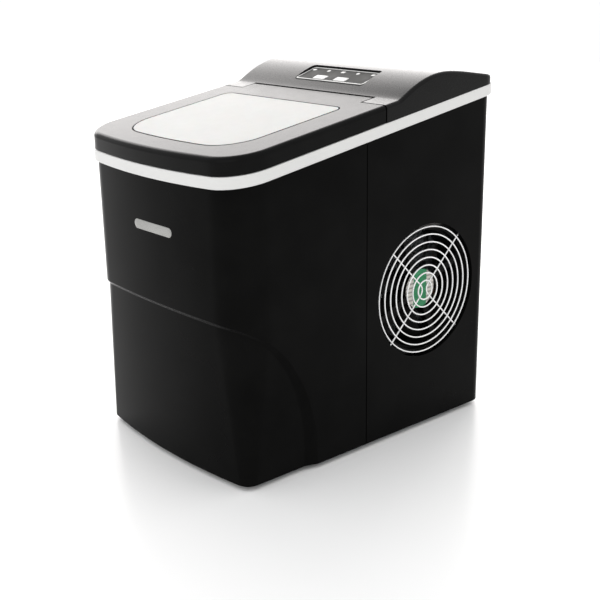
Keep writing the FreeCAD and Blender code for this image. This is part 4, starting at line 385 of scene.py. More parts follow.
def clear(name, tint, rough, weight):
    """Clear plastic with a faint tint."""
    tree = Tree(name)
    tree.mottle(tree.noise(0.03, 3.0), tint, 0.04)
    tree.drive("Roughness", tree.span(tree.noise(0.006, 4.0), rough * 0.7, rough * 1.4))
    tree.fix(Transmission_Weight=weight, IOR=1.49)
    return tree.bump(tree.noise(0.01, 3.0), 0.00004, 0.3)


def board(name):
    """Green circuit board with pale tracks."""
    tree = Tree(name)
    track = tree.waves(0.0022, "X", 6.0)
    tree.drive("Base Color", tree.ramp(track, (0.45, (0.012, 0.085, 0.030)), (0.62, (0.03, 0.19, 0.06))))
    tree.drive("Roughness", tree.span(track, 0.45, 0.28))
    return tree.bump(track, 0.00003, 0.6)


def foam(name):
    """Open-pored white foam."""
    tree = Tree(name)
    pores = tree.cells(0.0022)
    tree.drive("Base Color", tree.ramp(pores, (0.0, (0.70, 0.69, 0.66)), (0.5, (0.88, 0.87, 0.85))))
    tree.drive("Roughness", tree.span(pores, 0.95, 0.8))
    return tree.bump(pores, 0.0004, 0.8)


def laminated(name):
    """Stack of thin steel sheets."""
    tree = Tree(name)
    sheets = tree.waves(0.0011, "Y")
    tree.drive("Base Color", tree.ramp(sheets, (0.3, (0.16, 0.15, 0.14)), (0.7, (0.36, 0.35, 0.33))))
    tree.drive("Roughness", tree.span(sheets, 0.55, 0.35))
    tree.fix(Metallic=0.85)
    return tree.bump(sheets, 0.0001, 0.7)


def rubber(name, tint):
    """Dull rubber with a fine powdery grain."""
    tree = Tree(name)
    tree.mottle(tree.noise(0.004, 6.0), tint, 0.2)
    tree.drive("Roughness", tree.span(tree.noise(0.002, 4.0), 0.75, 0.95))
    tree.fix(Specular_IOR_Level=0.02)
    return tree.bump(tree.noise(0.0005, 3.0), 0.00005, 0.7)


def hub_label(name):
    """Printed disc: a green middle stripe between two pale sides with soft grey bars, no lettering."""
    low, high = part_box("fan_label")
    middle = (low.y + high.y) / 2
    radius = (high.y - low.y) / 2
    tree = Tree(name)
    across = tree.maths("ABSOLUTE", tree.maths("SUBTRACT", tree.axis("Y"), middle))
    print_grain = tree.noise(0.0012, 3.0)
    dark, light = shades(tone("label"), 0.3)
    pale, grey = (0.66, 0.63, 0.58), (0.33, 0.32, 0.30)
    stripe = tree.ramp(print_grain, (0.3, dark), (0.7, light))
    bars = tree.waves(0.0042, "Z")
    sides = tree.ramp(bars, (0.60, pale), (0.75, grey))
    edge = tree.maths("GREATER_THAN", across, radius * 0.46)
    mix = tree.nodes.new("ShaderNodeMix")
    mix.data_type = "RGBA"
    factor, first, second, result = mix.inputs[0], mix.inputs[6], mix.inputs[7], mix.outputs[2]
    tree.links.new(edge, factor)
    tree.links.new(stripe, first)
    tree.links.new(sides, second)
    tree.drive("Base Color", result)
    tree.drive("Roughness", tree.span(print_grain, 0.35, 0.5))
    return tree.bump(print_grain, 0.00002, 0.4)


def build_finishes():
    """One finish for each material slot of the record."""
    return {
        "housing_black": gloss_black("housing_black", 0.030, 0.10),
        "trim_white": moulded("trim_white", tone("band"), 0.35, spread=0.012, specular=0.25),
        "lid_black": satin_black("lid_black", 0.068, 0.26),
        "cover_black": gloss_black("cover_black", 0.13, 0.24),
        "window_milk": milk_pane("window_milk"),
        "inner_white": moulded("inner_white", tone("liner"), 0.35, spread=0.02),
        "panel_grey": moulded("panel_grey", tone("panel"), 0.50, grain=0.0003, spread=0.08, specular=0.03),
        "key_white": moulded("key_white", tone("band"), 0.40, spread=0.015, specular=0.2),
        "lens_white": moulded("lens_white", tone("band"), 0.40, spread=0.02, specular=0.2),
        "badge_silver": metal("badge_silver", tone("silver"), 0.30, (0.04, 1.0, 1.0), 0.000006, 0.05),
        "board_green": board("board_green"),
        "base_grey": moulded("base_grey", (0.035, 0.035, 0.036), 0.60, depth=0.00006),
        "foot_rubber": rubber("foot_rubber", (0.014, 0.014, 0.014)),
        "zinc_steel": metal("zinc_steel", (0.62, 0.63, 0.62), 0.32),
        "foam_white": foam("foam_white"),
        "clear_grey": clear("clear_grey", (0.72, 0.78, 0.82), 0.08, 0.7),
        "tray_white": moulded("tray_white", (0.80, 0.81, 0.80), 0.30, spread=0.02),
        "shaft_steel": metal("shaft_steel", (0.60, 0.60, 0.59), 0.22, (0.1, 1.0, 1.0)),
        "motor_metal": metal("motor_metal", (0.50, 0.50, 0.50), 0.38, (1.0, 0.1, 1.0)),
        "nickel": metal("nickel", (0.72, 0.70, 0.66), 0.18),
        "copper": metal("copper", tone("copper"), 0.28, spread=0.18),
        "valve_brass": metal("valve_brass", (0.72, 0.52, 0.22), 0.30, spread=0.14),
        "sensor_black": moulded("sensor_black", (0.014, 0.014, 0.016), 0.25),
        "float_white": foam("float_white"),
        "hose_clear": clear("hose_clear", (0.85, 0.88, 0.88), 0.14, 0.75),
        "compressor_black": moulded(
            "compressor_black", (0.012, 0.012, 0.012), 0.40, grain=0.003, depth=0.0001, coat=0.3
        ),
        "fin_aluminium": metal("fin_aluminium", (0.74, 0.75, 0.76), 0.35, (1.0, 1.0, 0.1)),
        "fan_black": moulded("fan_black", tone("black"), 0.45, specular=0.06),
        "fan_label": hub_label("fan_label"),
        "guard_chrome": metal(
            "guard_chrome", tone("wire"), 0.30, depth=0.000004, spread=0.04
        ).fix(Metallic=0.55),
        "core_steel": laminated("core_steel"),
    }


FINISHES = {}


def finish_of(slot):
    """The material of a slot; all of them are made on the first call."""
    if not FINISHES:
        FINISHES.update({name: tree.material for name, tree in build_finishes().items()})
    if slot not in FINISHES:
        raise RuntimeError("there is no finish for the slot %s" % slot)
    return FINISHES[slot]


# ---------------------------------------------------------------- mesh helpers


def steps(start, end, count):
    """Evenly spaced numbers from start to end, both included."""
    return [start + (end - start) * i / count for i in range(count + 1)]


def skin(rings, closed=True, around=False):
    """Points and quads of a surface through rings of equally many points.

    Closed rings join their own ends; around joins the last ring to the first.
    """
    count = len(rings[0])
    points = [point for ring in rings for point in ring]
    faces = []
    last = len(rings) if around else len(rings) - 1
    for r in range(last):
        for i in range(count if closed else count - 1):
            a = r * count + i
            b = r * count + (i + 1) % count
            c = ((r + 1) % len(rings)) * count
            faces.append((a, b, c + (i + 1) % count, c + i))
    return points, faces


def gather(*parts):
    """Several point and face lists as one."""
    points, faces = [], []
    for more_points, more_faces in parts:
        start = len(points)
        points += [Vector(p) for p in more_points]
        faces += [tuple(i + start for i in face) for face in more_faces]
    return points, faces


def capped(rings):
    """A closed form through rings, with its two ends filled."""
    points, faces = skin(rings)
    size = len(rings[0])
    for start in (0, (len(rings) - 1) * size):
        faces.append(tuple(range(start, start + size)))
    return points, faces


def sheet(points):
    """One face through points."""
    return points, [tuple(range(len(points)))]


def placed(part, matrix):
    """A form moved and turned to its place."""
    points, faces = part
    return [matrix @ Vector(p) for p in points], faces


def solid(name, part, slot, body, replaces=()):
    """Make a mesh piece that rides on a body and stands for CAD nodes."""
    points, faces = part
    work = bmesh.new()
    for point in points:
        work.verts.new(point)
    work.verts.ensure_lookup_table()
    for face in faces:
        corners = [work.verts[i] for i in dict.fromkeys(face)]
        if len(corners) > 2 and not work.faces.get(corners):
            work.faces.new(corners)
    bmesh.ops.remove_doubles(work, verts=work.verts, dist=2e-6)
    bmesh.ops.dissolve_degenerate(work, edges=work.edges, dist=1e-6)
    bmesh.ops.recalc_face_normals(work, faces=work.faces)
    mesh = bpy.data.meshes.new(name)
    work.to_mesh(mesh)
    work.free()
    mesh.polygons.foreach_set("use_smooth", [True] * len(mesh.polygons))
    piece = bpy.data.objects.new(name, mesh)
    bpy.context.scene.collection.objects.link(piece)
    piece.data.materials.append(finish_of(slot))
    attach(piece, body)
    if replaces:
        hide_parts(*replaces)
    return piece


def bake(piece):
    """Make the modifiers' result the mesh."""
    bpy.context.view_layer.update()
    graph = bpy.context.evaluated_depsgraph_get()
    mesh = bpy.data.meshes.new_from_object(piece.evaluated_get(graph))
    piece.modifiers.clear()
    piece.data = mesh


def thicken(piece, wall):
    """Give an open skin its wall, inwards."""
    tool = piece.modifiers.new("wall", "SOLIDIFY")
    tool.thickness = wall
    tool.offset = -1.0
    tool.use_even_offset = True
    tool.use_quality_normals = True
    bake(piece)


def soften(piece, width=0.0, angle=35.0):
    """Small rounding of the edges sharper than an angle, with normals that keep flat faces flat."""
    if width:
        tool = piece.modifiers.new("edge", "BEVEL")
        tool.width = width
        tool.segments = 2
        tool.limit_method = "ANGLE"
        tool.angle_limit = math.radians(angle)
        tool.miter_outer = "MITER_ARC"
    even = piece.modifiers.new("even", "WEIGHTED_NORMAL")
    even.mode = "FACE_AREA"
    even.keep_sharp = True


def linked(name, part):
    """A plain helper object in the scene, made from points and faces."""
    points, faces = part
    mesh = bpy.data.meshes.new(name)
    mesh.from_pydata([tuple(p) for p in points], [], faces)
    holder = bpy.data.objects.new(name, mesh)
    bpy.context.scene.collection.objects.link(holder)
    return holder


def carve(piece, cutter_part):
    """Cut a closed form out of a piece."""
    cutter = linked("cutter", cutter_part)
    work = bmesh.new()
    work.from_mesh(cutter.data)
    bmesh.ops.recalc_face_normals(work, faces=work.faces)
    work.to_mesh(cutter.data)
    work.free()
    tool = piece.modifiers.new("cut", "BOOLEAN")
    tool.operation = "DIFFERENCE"
    tool.solver = "EXACT"
    tool.object = cutter
    bake(piece)
    bpy.data.objects.remove(cutter)


def quarter(radius, count=6):
    """Inset and drop of a rounded edge, from the wall up to the top."""
    return [(radius * (1 - math.cos(a)), radius * (1 - math.sin(a))) for a in steps(0, math.pi / 2, count)]


def rounded_loop(width, length_, corner, count=6):
    """Closed outline of a rounded rectangle about the origin."""
    points = []
    for turn, (sx, sy) in enumerate(((1, 1), (-1, 1), (-1, -1), (1, -1))):
        centre = Vector((sx * (width / 2 - corner), sy * (length_ / 2 - corner), 0))
        for a in steps(turn * math.pi / 2, (turn + 1) * math.pi / 2, count):
            points.append(centre + corner * Vector((math.cos(a), math.sin(a), 0)))
    return points


def slab(width, length_, corner, levels, count=6):
    """A closed rounded slab through levels of (inset, height)."""
    least = 0.0001
    rings = []
    for inset, height in levels:
        loop = rounded_loop(width - 2 * inset, length_ - 2 * inset, max(corner - inset, least), count)
        rings.append([point + Vector((0, 0, height)) for point in loop])
    return capped(rings)


def lathe(profile, count=48, flute=None):
    """A turned form about Z through (radius, height) points; flute trims the radius by angle."""
    rings = []
    for radius, height in profile:
        ring = []
        for i in range(count):
            a = 2 * math.pi * i / count
            trim = flute(a, radius) if flute else 0.0
            ring.append(Vector(((radius - trim) * math.cos(a), (radius - trim) * math.sin(a), height)))
        rings.append(ring)
    return capped(rings)


def tube(path, radius, closed=False, sides=12):
    """A round wire along a path, with rounded ends when it is open."""
    count = len(path)
    tangents = []
    for i in range(count):
        before = path[i - 1] if closed or i else path[0]
        after = path[(i + 1) % count] if closed or i + 1 < count else path[-1]
        tangents.append((after - before).normalized())
    side = tangents[0].orthogonal().normalized()
    rings = []
    for i in range(count):
        side = (side - tangents[i] * side.dot(tangents[i])).normalized()
        other = tangents[i].cross(side)
        turns = steps(0, 2 * math.pi, sides)[:-1]
        rings.append([path[i] + radius * (side * math.cos(a) + other * math.sin(a)) for a in turns])
    if closed:
        return skin(rings, True, True)
    for end, sign in ((0, -1), (-1, 1)):
        centre = path[end]
        caps = []
        for a in (math.radians(35), math.radians(65)):
            shift = tangents[end] * (sign * radius * math.sin(a))
            caps.append([centre + (point - centre) * math.cos(a) + shift for point in rings[end]])
        rings = [caps[1], caps[0]] + rings if end == 0 else rings + caps
    return capped(rings)


# ---------------------------------------------------------------- shared outlines


def bow_radius():
    """Radius of the bowed front in plan."""
    bow = setting("body").bow
    return ((WIDTH / 2) ** 2 + bow ** 2) / (2 * bow)


def band_level(y, offset=0.0):
    """Height of the band's sloped top at a depth."""
    return BAND_HIGH.z + setting("body").slope * (y - BAND_HIGH.y) + offset


def band_height():
    """Height of the band at any depth, measured upright."""
    return (BAND_HIGH.z - BAND_LOW.z) - setting("body").slope * (BAND_HIGH.y - BAND_LOW.y)


def lid_level(y, offset=0.0):
    """Height of the lid's sloped top at a depth."""
    return PANE_HIGH.z + setting("body").slope * (y - PANE_HIGH.y) + offset


def lid_row(points, offset=0.0):
    """Plan points on the lid's sloped top."""
    return [Vector((x, y, lid_level(y, offset))) for x, y in points]


def front_centres(half, front, bow, corner):
    """Depth of the bow's centre, the corner's centre, and the angle where the two arcs meet."""
    centre = front + bow
    x = half - corner
    y = centre - math.sqrt((bow - corner) ** 2 - x ** 2)
    return centre, x, y, math.atan2(x, centre - y)


def front_arc(half, front, bow, corner, bow_steps, corner_steps):
    """Right half of a bowed front and its round corner, from the middle to the side."""
    centre, x, y, lean = front_centres(half, front, bow, corner)
    points = [(bow * math.sin(a), centre - bow * math.cos(a)) for a in steps(0, lean, bow_steps)]
    turns = steps(lean, math.pi / 2, corner_steps)[1:]
    return points + [(x + corner * math.sin(a), y - corner * math.cos(a)) for a in turns]


def rear_arc(half, rear, corner, corner_steps):
    """Round rear corner, from the side to the rear."""
    centre = (half - corner, rear - corner)
    return [
        (centre[0] + corner * math.cos(a), centre[1] + corner * math.sin(a))
        for a in steps(0, math.pi / 2, corner_steps)
    ]


def whole_outline(inset, side_steps=24, rear_steps=16):
    """The object's closed outline in plan, moved inwards by inset."""
    body = setting("body")
    least = 0.0005
    half = WIDTH / 2 - inset
    rear = DEPTH / 2 - inset
    corner = max(body.front_corner - inset, least)
    points = front_arc(half, -DEPTH / 2 + inset, bow_radius() - inset, corner, 24, 14)
    corner = max(body.rear_corner - inset, least)
    points += [(half, y) for y in steps(points[-1][1], rear - corner, side_steps)[1:-1]]
    points += rear_arc(half, rear, corner, 10)
    points += [(x, rear) for x in steps(points[-1][0], 0, rear_steps)[1:]]
    return points + [(-x, y) for x, y in reversed(points[1:-1])]


# ---------------------------------------------------------------- pieces


def make_band():
    """The white band: a ring with softly rounded edges and an inner ledge."""
    height = band_height()
    wall, ledge, ledge_top, ledge_foot = 0.008, 0.012, -0.003, -0.0055
    rounding = quarter(0.0009, 5)
    section = [(inset, -drop) for inset, drop in rounding]
    section += [(wall, 0.0), (wall, ledge_top), (ledge, ledge_top), (ledge, ledge_foot)]
    section += [(wall, ledge_foot), (wall, -height)]
    section += [(inset, -height + drop) for inset, drop in reversed(rounding)]
    rings = []
    for inset, offset in section:
        rings.append([Vector((x, y, band_level(y, offset))) for x, y in whole_outline(inset)])
    piece = solid("white_band", skin(rings, True, True), "trim_white", ROOT, ["trim_band"])
    soften(piece)


def recess_share(z):
    """How far a height lies down the recess: 0 at its top, 1 at the foot."""
    body = setting("body")
    return min(max((body.recess_rise - z) / (body.recess_rise - SHELL_LOW.z), 0.0), 1.0)


def recess_inset(z):
    """Depth of the recess at a height."""
    body = setting("body")
    return body.inset_top + recess_share(z) * (body.inset_foot - body.inset_top)


def recess_offset(y, z):
    """How far a point on the side lies outside the recess curve; inside it is negative."""
    body = setting("body")
    across = y - (SHELL_LOW.y - body.recess_front)
    up = z - body.recess_foot
    back = body.recess_back
    rise = body.recess_rise - body.recess_foot
    if up <= 0:
        return across - back
    # halving finds the offset, from nearly the curve's centre out to half a metre
    low, high = -min(back, rise) * 0.98, 0.5
    for _ in range(28):
        middle = (low + high) / 2
        inside = (across / (back + middle)) ** 2 + (up / (rise + middle)) ** 2 < 1.0
        low, high = (low, middle) if inside else (middle, high)
    return (low + high) / 2


def recess_level(y, offset):
    """Height of the recess curve at a depth, for the curve moved outwards by offset."""
    body = setting("body")
    centre = SHELL_LOW.y - body.recess_front
    share = (y - centre) / (body.recess_back + offset)
    if share >= 1.0:
        return SHELL_LOW.z
    return body.recess_foot + (body.recess_rise - body.recess_foot + offset) * math.sqrt(1 - share ** 2)


def crease_width(y):
    """Width of the soft step between the recess and the wall above it, at a depth."""
    least = 0.0006
    return setting("body").crease * recess_inset(recess_level(y, 0.0)) + least


def front_columns():
    """Columns of the front housing's right half, each a kind of stretch and the place along it.

    They stand closer where the recess curve turns upright. The depth where the side starts comes with them.
    """
    body = setting("body")
    inset = OVERHANG
    plan = front_arc(WIDTH / 2 - inset, -DEPTH / 2 + inset, bow_radius() - inset, body.front_corner, 1, 1)
    start = plan[-1][1]
    centre = SHELL_LOW.y - body.recess_front
    first = math.asin((start - centre) / body.recess_back)
    depths = [centre + body.recess_back * math.sin(a) for a in steps(first, math.pi / 2, 34)]
    close = 0.0007
    depths += [depths[-1] + close * i for i in range(1, 8)]
    depths += steps(depths[-1], SHELL_HIGH.y, 12)[1:]
    columns = [("bow", share) for share in steps(0, 1, 36)]
    columns += [("corner", share) for share in steps(0, 1, 20)[1:]]
    return columns + [("side", y) for y in depths[1:]], start


def front_point(column, inset, corner, start):
    """Plan point of a column on the outline with this inset and corner radius."""
    kind, value = column
    half = WIDTH / 2 - inset
    bow = bow_radius() - inset
    centre, x, y, lean = front_centres(half, -DEPTH / 2 + inset, bow, corner)
    if kind == "bow":
        return bow * math.sin(value * lean), centre - bow * math.cos(value * lean)
    if kind == "corner":
        a = lean + value * (math.pi / 2 - lean)
        return x + corner * math.sin(a), y - corner * math.cos(a)
    far = (value - start) / (SHELL_HIGH.y - start)
    return half, value + (y - start) * (1 - far) ** 2


def front_strip(column, start):
    """One column of the front housing, from the band down to the foot, stepping in at the crease."""
    body = setting("body")
    outer = Vector(front_point(column, OVERHANG, body.front_corner, start))
    width = crease_width(outer.y)
    marks = [recess_level(outer.y, width * (CREASE_OUT - share)) for share in steps(0, 1, 12)]
    top = band_level(outer.y, -band_height())
    strip = []
    for z in steps(top, marks[0], 12)[:-1] + marks + steps(marks[-1], SHELL_LOW.z, 14)[1:]:
        share = min(max(CREASE_OUT - recess_offset(outer.y, z) / width, 0.0), 1.0)
        blend = share * share * (3 - 2 * share)
        corner = body.front_corner + recess_share(z) * (body.foot_corner - body.front_corner)
        inner = Vector(front_point(column, OVERHANG + recess_inset(z), corner, start))
        strip.append(Vector((*outer.lerp(inner, blend), z)))
    return strip


def make_front_shell():
    """Front housing: bowed, with the lower recess and its soft crease."""
    body = setting("body")
    columns, start = front_columns()
    strips = [front_strip(column, start) for column in columns]
    left = [[Vector((-p.x, p.y, p.z)) for p in strip] for strip in reversed(strips[1:])]
    piece = solid("front_shell", skin(left + strips, False), "housing_black", ROOT, ["front_housing"])
    thicken(piece, body.wall)
    low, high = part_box("drain_plug")
    gap, reach = 0.0004, 0.02
    radius = (high.z - low.z) / 2 + gap
    bore = lathe([(radius, -reach), (radius, reach)], 40)
    place = Matrix.Translation((-WIDTH / 2, (low.y + high.y) / 2, (low.z + high.z) / 2))
    carve(piece, placed(bore, place @ Matrix.Rotation(math.pi / 2, 4, "Y")))
    soften(piece, body.edge, 50.0)


def window_loop(shrink):
    """Closed outline of the window's hole, moved inwards by shrink."""
    lid = setting("lid")
    low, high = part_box("lid_window")
    gap = lid.window_gap
    half = high.x + gap - shrink
    front = low.y - gap + shrink
    rear = high.y + gap - shrink
    bow = bow_radius() - shrink
    points = front_arc(half, front, bow, lid.window_front_corner - shrink, 24, 14)
    corner = lid.window_rear_corner - shrink
    points += [(half, y) for y in steps(points[-1][1], rear - corner, 12)[1:-1]]
    points += rear_arc(half, rear, corner, 8)
    points += [(x, rear) for x in steps(points[-1][0], 0, 12)[1:]]
    return points + [(-x, y) for x, y in reversed(points[1:-1])]


def fill(outer, holes, level):
    """Flat face between a closed outline and its holes, as triangles."""
    work = bmesh.new()
    edges = []
    for loop in [outer] + holes:
        corners = [work.verts.new((x, y, level(y))) for x, y in loop]
        edges += [work.edges.new(pair) for pair in zip(corners, corners[1:] + corners[:1])]
    bmesh.ops.triangle_fill(work, use_beauty=True, use_dissolve=False, edges=edges)
    work.verts.ensure_lookup_table()
    work.verts.index_update()
    points = [v.co.copy() for v in work.verts]
    faces = [tuple(v.index for v in f.verts) for f in work.faces]
    work.free()
    return points, faces


def lid_plan(inset):
    """The lid's front and sides in plan, from the left shoulder to the right one."""
    body, lid = setting("body"), setting("lid")
    gap = WIDTH / 2 - LID_HIGH.x + inset
    half = WIDTH / 2 - gap
    right = front_arc(half, -DEPTH / 2 + gap, bow_radius() - gap, body.front_corner - inset, 30, 18)
    right += [(half, y) for y in steps(right[-1][1], lid.shoulder, 24)[1:]]
    return [(-x, y) for x, y in reversed(right[1:])] + right


def lid_top(plan, shoulder, rear):
    """The lid's flat top with the window's hole: the front, the two shoulders and the rear tongue."""
    lid = setting("lid")
    side = [(lid.tongue, y) for y in steps(lid.shoulder, rear, 4)[1:]]
    back = [(x, rear) for x in steps(lid.tongue, -lid.tongue, 20)[1:]]
    left = [(-x, y) for x, y in reversed(side[:-1])] + [(-x, y) for x, y in reversed(shoulder)]
    return fill(plan + shoulder + side + back + left, [window_loop(0.0)], lid_level)


def window_seat():
    """The wall of the window's hole and the ledge that the pane lies on."""
    pane, ledge = setting("lid").pane, 0.004
    hole = window_loop(0.0)
    return skin([lid_row(hole), lid_row(hole, -pane), lid_row(window_loop(ledge), -pane)])


def tongue_end(rear, thick):
    """The tongue's rounded rear edge and its two end faces."""
    lid = setting("lid")
    across = steps(-lid.tongue, lid.tongue, 20)
    rows = [lid_row([(x, rear) for x in across], -thick)]
    for inset, drop in quarter(lid.rear_edge, 4):
        rows.append(lid_row([(x, rear - inset) for x in across], -drop))
    parts = [skin(rows, False)]
    for sign, side in ((-1, 0), (1, -1)):
        corner = lid_row([(sign * lid.tongue, rear - lid.rear_edge)], -thick)
        parts.append(sheet([row[side] for row in rows] + corner))
    return parts


def make_lid_shell():
    """Lid: a rounded skirt, a flat top with the window's seat, shoulders and a rear tongue."""
    lid = setting("lid")
    thick, rim = 0.0045, 0.0006
    rear = LID_HIGH.y - lid.rear_gap
    flat_rear = rear - lid.rear_edge
    rings = [[Vector((x, y, band_level(y, lid.lift))) for x, y in lid_plan(0.0)]]
    rings += [lid_row(lid_plan(inset), -drop) for inset, drop in quarter(lid.edge, 8)]
    plan = lid_plan(lid.edge + rim)
    rings.append(lid_row(plan))
    shoulder = [(x, lid.shoulder) for x in steps(plan[-1][0], lid.tongue, 4)[1:]]
    walls = []
    for sign, side in ((-1, 0), (1, -1)):
        path = [(sign * lid.tongue, y) for y in steps(lid.shoulder, flat_rear, 4)]
        walls.append(skin([lid_row(path), lid_row(path, -thick)], False))
        face = [ring[side] for ring in rings] + lid_row([(sign * x, y) for x, y in shoulder])
        foot = Vector((sign * lid.tongue, lid.shoulder, band_level(lid.shoulder, lid.lift)))
        walls.append(sheet(face + [foot]))
    top = lid_top(plan, shoulder, flat_rear)
    part = gather(skin(rings, False), top, window_seat(), *walls, *tongue_end(rear, thick))
    piece = solid("lid_shell", part, "lid_black", "lid", ["lid_frame"])
    thicken(piece, lid.wall)
    soften(piece, 0.0003, 50.0)


def make_hinge():
    """Hinge barrel along the lid's rear edge, round the hinge pins."""
    low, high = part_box("hinge_pins")
    axis = Vector((0, (low.y + high.y) / 2, (low.z + high.z) / 2))
    radius, edge, gap = 0.0033, 0.0005, 0.0004
    half = setting("lid").tongue - gap
    profile = [(radius - edge, -half), (radius, -half + edge), (radius, half - edge), (radius - edge, half)]
    turn = Matrix.Translation(axis) @ Matrix.Rotation(math.pi / 2, 4, "Y")
    piece = solid("hinge_barrel", placed(lathe(profile, 32), turn), "lid_black", "lid")
    soften(piece)


def make_pane():
    """Milky window pane, flush with the lid, with a rounded rim."""
    lid = setting("lid")
    gap, thick, chamfer, flat = lid.window_gap, lid.pane, 0.0004, 0.0012
    levels = [(gap + chamfer, -thick), (gap, -thick + chamfer)]
    levels += [(gap + inset, -drop) for inset, drop in quarter(0.0006, 4)]
    rings = [lid_row(window_loop(shrink), height) for shrink, height in levels]
    inner = window_loop(gap + flat)
    rings.append(lid_row(inner))
    top = fill(inner, [], lid_level)
    bottom = fill(window_loop(gap + chamfer), [], lambda y: lid_level(y, -thick))
    piece = solid("window_pane", gather(skin(rings), top, bottom), "window_milk", "lid", ["lid_window"])
    soften(piece)


def make_window_gap_shade():
    """Painted shade: a thin dark strip over the window's rim and down into the gap round it, standing for
    the shade in that groove.
    """
    gap = setting("lid").window_gap
    width, rise, sink, root, lap = 0.0009, 0.00012, -0.002, -0.0004, 0.0002
    profile = [(gap - lap, sink), (gap - lap, 0.0), (gap, rise), (gap + width, rise), (gap + width, root)]
    rings = [lid_row(window_loop(shrink), height) for shrink, height in profile]
    # painted shade: this dark strip stands for the shade that falls in the groove round the window
    soften(solid("window_seal", skin(rings), "foot_rubber", "lid"))


# ---------------------------------------------------------------- control cover and panel


def bezier(points, count):
    """Points along a cubic curve with four poles."""
    line = []
    for t in steps(0, 1, count):
        weights = ((1 - t) ** 3, 3 * t * (1 - t) ** 2, 3 * t * t * (1 - t), t ** 3)
        line.append(tuple(sum(w * p[k] for w, p in zip(weights, points)) for k in (0, 1)))
    return line


def cover_profile():
    """The cover's top as (depth, height) points: level with the lid, an S curve, then a gentle fall."""
    cover = setting("cover")
    slope = setting("body").slope
    start = (cover.rise_start, lid_level(cover.rise_start))
    crest = (cover.crest_depth, COVER_HIGH.z)
    tail = (cover.tail_depth, cover.tail_level)
    run = crest[0] - start[0]
    lead = cover.rise_lead * run
    level_from = crest[0] - cover.crest_lead * run
    rise = bezier([start, (start[0] + lead, start[1] + lead * slope), (level_from, crest[1]), crest], 30)
    fall = tail[0] - crest[0]
    crest_pole = (crest[0] + 0.27 * fall, crest[1])
    tail_pole = (tail[0] - 0.33 * fall, tail[1] + TAIL_FALL * 0.33 * fall)
    drop = bezier([crest, crest_pole, tail_pole, tail], 24)
    room = 0.001
    flat = [y for y in steps(COVER_LOW.y, cover.slot_rear, 6) if y < cover.rise_start - room]
    return [(y, lid_level(y)) for y in flat] + [start] + rise[1:] + drop[1:]


def cover_height(profile, y):
    """Height of the cover's top at a depth."""
    if y >= profile[-1][0]:
        return profile[-1][1] - TAIL_FALL * (y - profile[-1][0])
    for (y0, z0), (y1, z1) in zip(profile, profile[1:]):
        if y <= y1:
            return z0 + (z1 - z0) * (y - y0) / (y1 - y0)
    return profile[-1][1]


def panel_matrix(x=0.0, v=0.0):
    """Place on the panel's face: x across, v up its slope."""
    cover = setting("cover")
    low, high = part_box("control_panel")
    turn = Matrix.Rotation(cover.panel_tilt, 4, "X")
    middle = Matrix.Translation((low + high) / 2)
    edge = Matrix.Translation((0, cover.panel_length / 2, 0))
    dip = edge.inverted() @ Matrix.Rotation(-cover.panel_dip, 4, "X") @ edge
    return middle @ turn @ dip @ Matrix.Translation((x, v, cover.panel_thick / 2 - cover.panel_sink))


def hood_side(depths, inset):
    """The hood's right side and rear corner in plan, moved inwards by inset."""
    gap = WIDTH / 2 - COVER_HIGH.x
    half = WIDTH / 2 - gap
    rear = DEPTH / 2 - gap
    corner = setting("body").rear_corner
    radius = corner - inset
    points = [(half - inset, y) for y in depths]
    for a in steps(0, math.pi / 2, 9)[1:]:
        points.append((half - corner + radius * math.cos(a), rear - corner + radius * math.sin(a)))
    return points


def hood_row(x, y):
    """Plan points across the hood from -x to x, with columns on the slot's two walls."""
    slot = setting("cover").slot_half
    ears = steps(slot, x, EAR_STEPS)[1:]
    middle = steps(-slot, slot, 28)
    return [(-e, y) for e in reversed(ears)] + [(s, y) for s in middle] + [(e, y) for e in ears]


def hood_path(depths, inset):
    """The hood's outline in plan from its right front end round the rear to the left one."""
    right = hood_side(depths, inset)
    across = hood_row(*right[-1])
    return right + list(reversed(across[1:-1])) + [(-x, y) for x, y in reversed(right)]


def hood_top(rows):
    """The hood's top through rows of points, without the slot for the lid's tongue."""
    cover = setting("cover")
    points, faces = skin(rows, False)
    kept = []
    for face in faces:
        middle = sum((points[i] for i in face), Vector()) / len(face)
        if middle.y > cover.slot_rear or abs(middle.x) > cover.slot_half:
            kept.append(face)
    return points, kept


def hood_slot(rows):
    """The walls of the slot for the lid's tongue, down to the band."""
    near = [row for row in rows if row[0].y <= setting("cover").slot_rear + 1e-6]
    first, last = EAR_STEPS, len(rows[0]) - 1 - EAR_STEPS
    path = [row[last] for row in near] + list(reversed(near[-1][first + 1 : last]))
    path += [row[first] for row in reversed(near)]
    return skin([path, [Vector((p.x, p.y, band_level(p.y))) for p in path]], False)


def hood_ends(rings, row):
    """The front end faces of the two ears beside the lid's tongue."""
    last = len(row) - 1 - EAR_STEPS
    ends = []
    for sign, side, top in ((-1, -1, list(reversed(row[: EAR_STEPS + 1]))), (1, 0, row[last:])):
        face = [ring[side] for ring in rings] + list(reversed(top))[1:]
        foot = Vector((sign * setting("cover").slot_half, COVER_LOW.y, band_level(COVER_LOW.y)))
        ends.append(sheet(face + [foot]))
    return ends


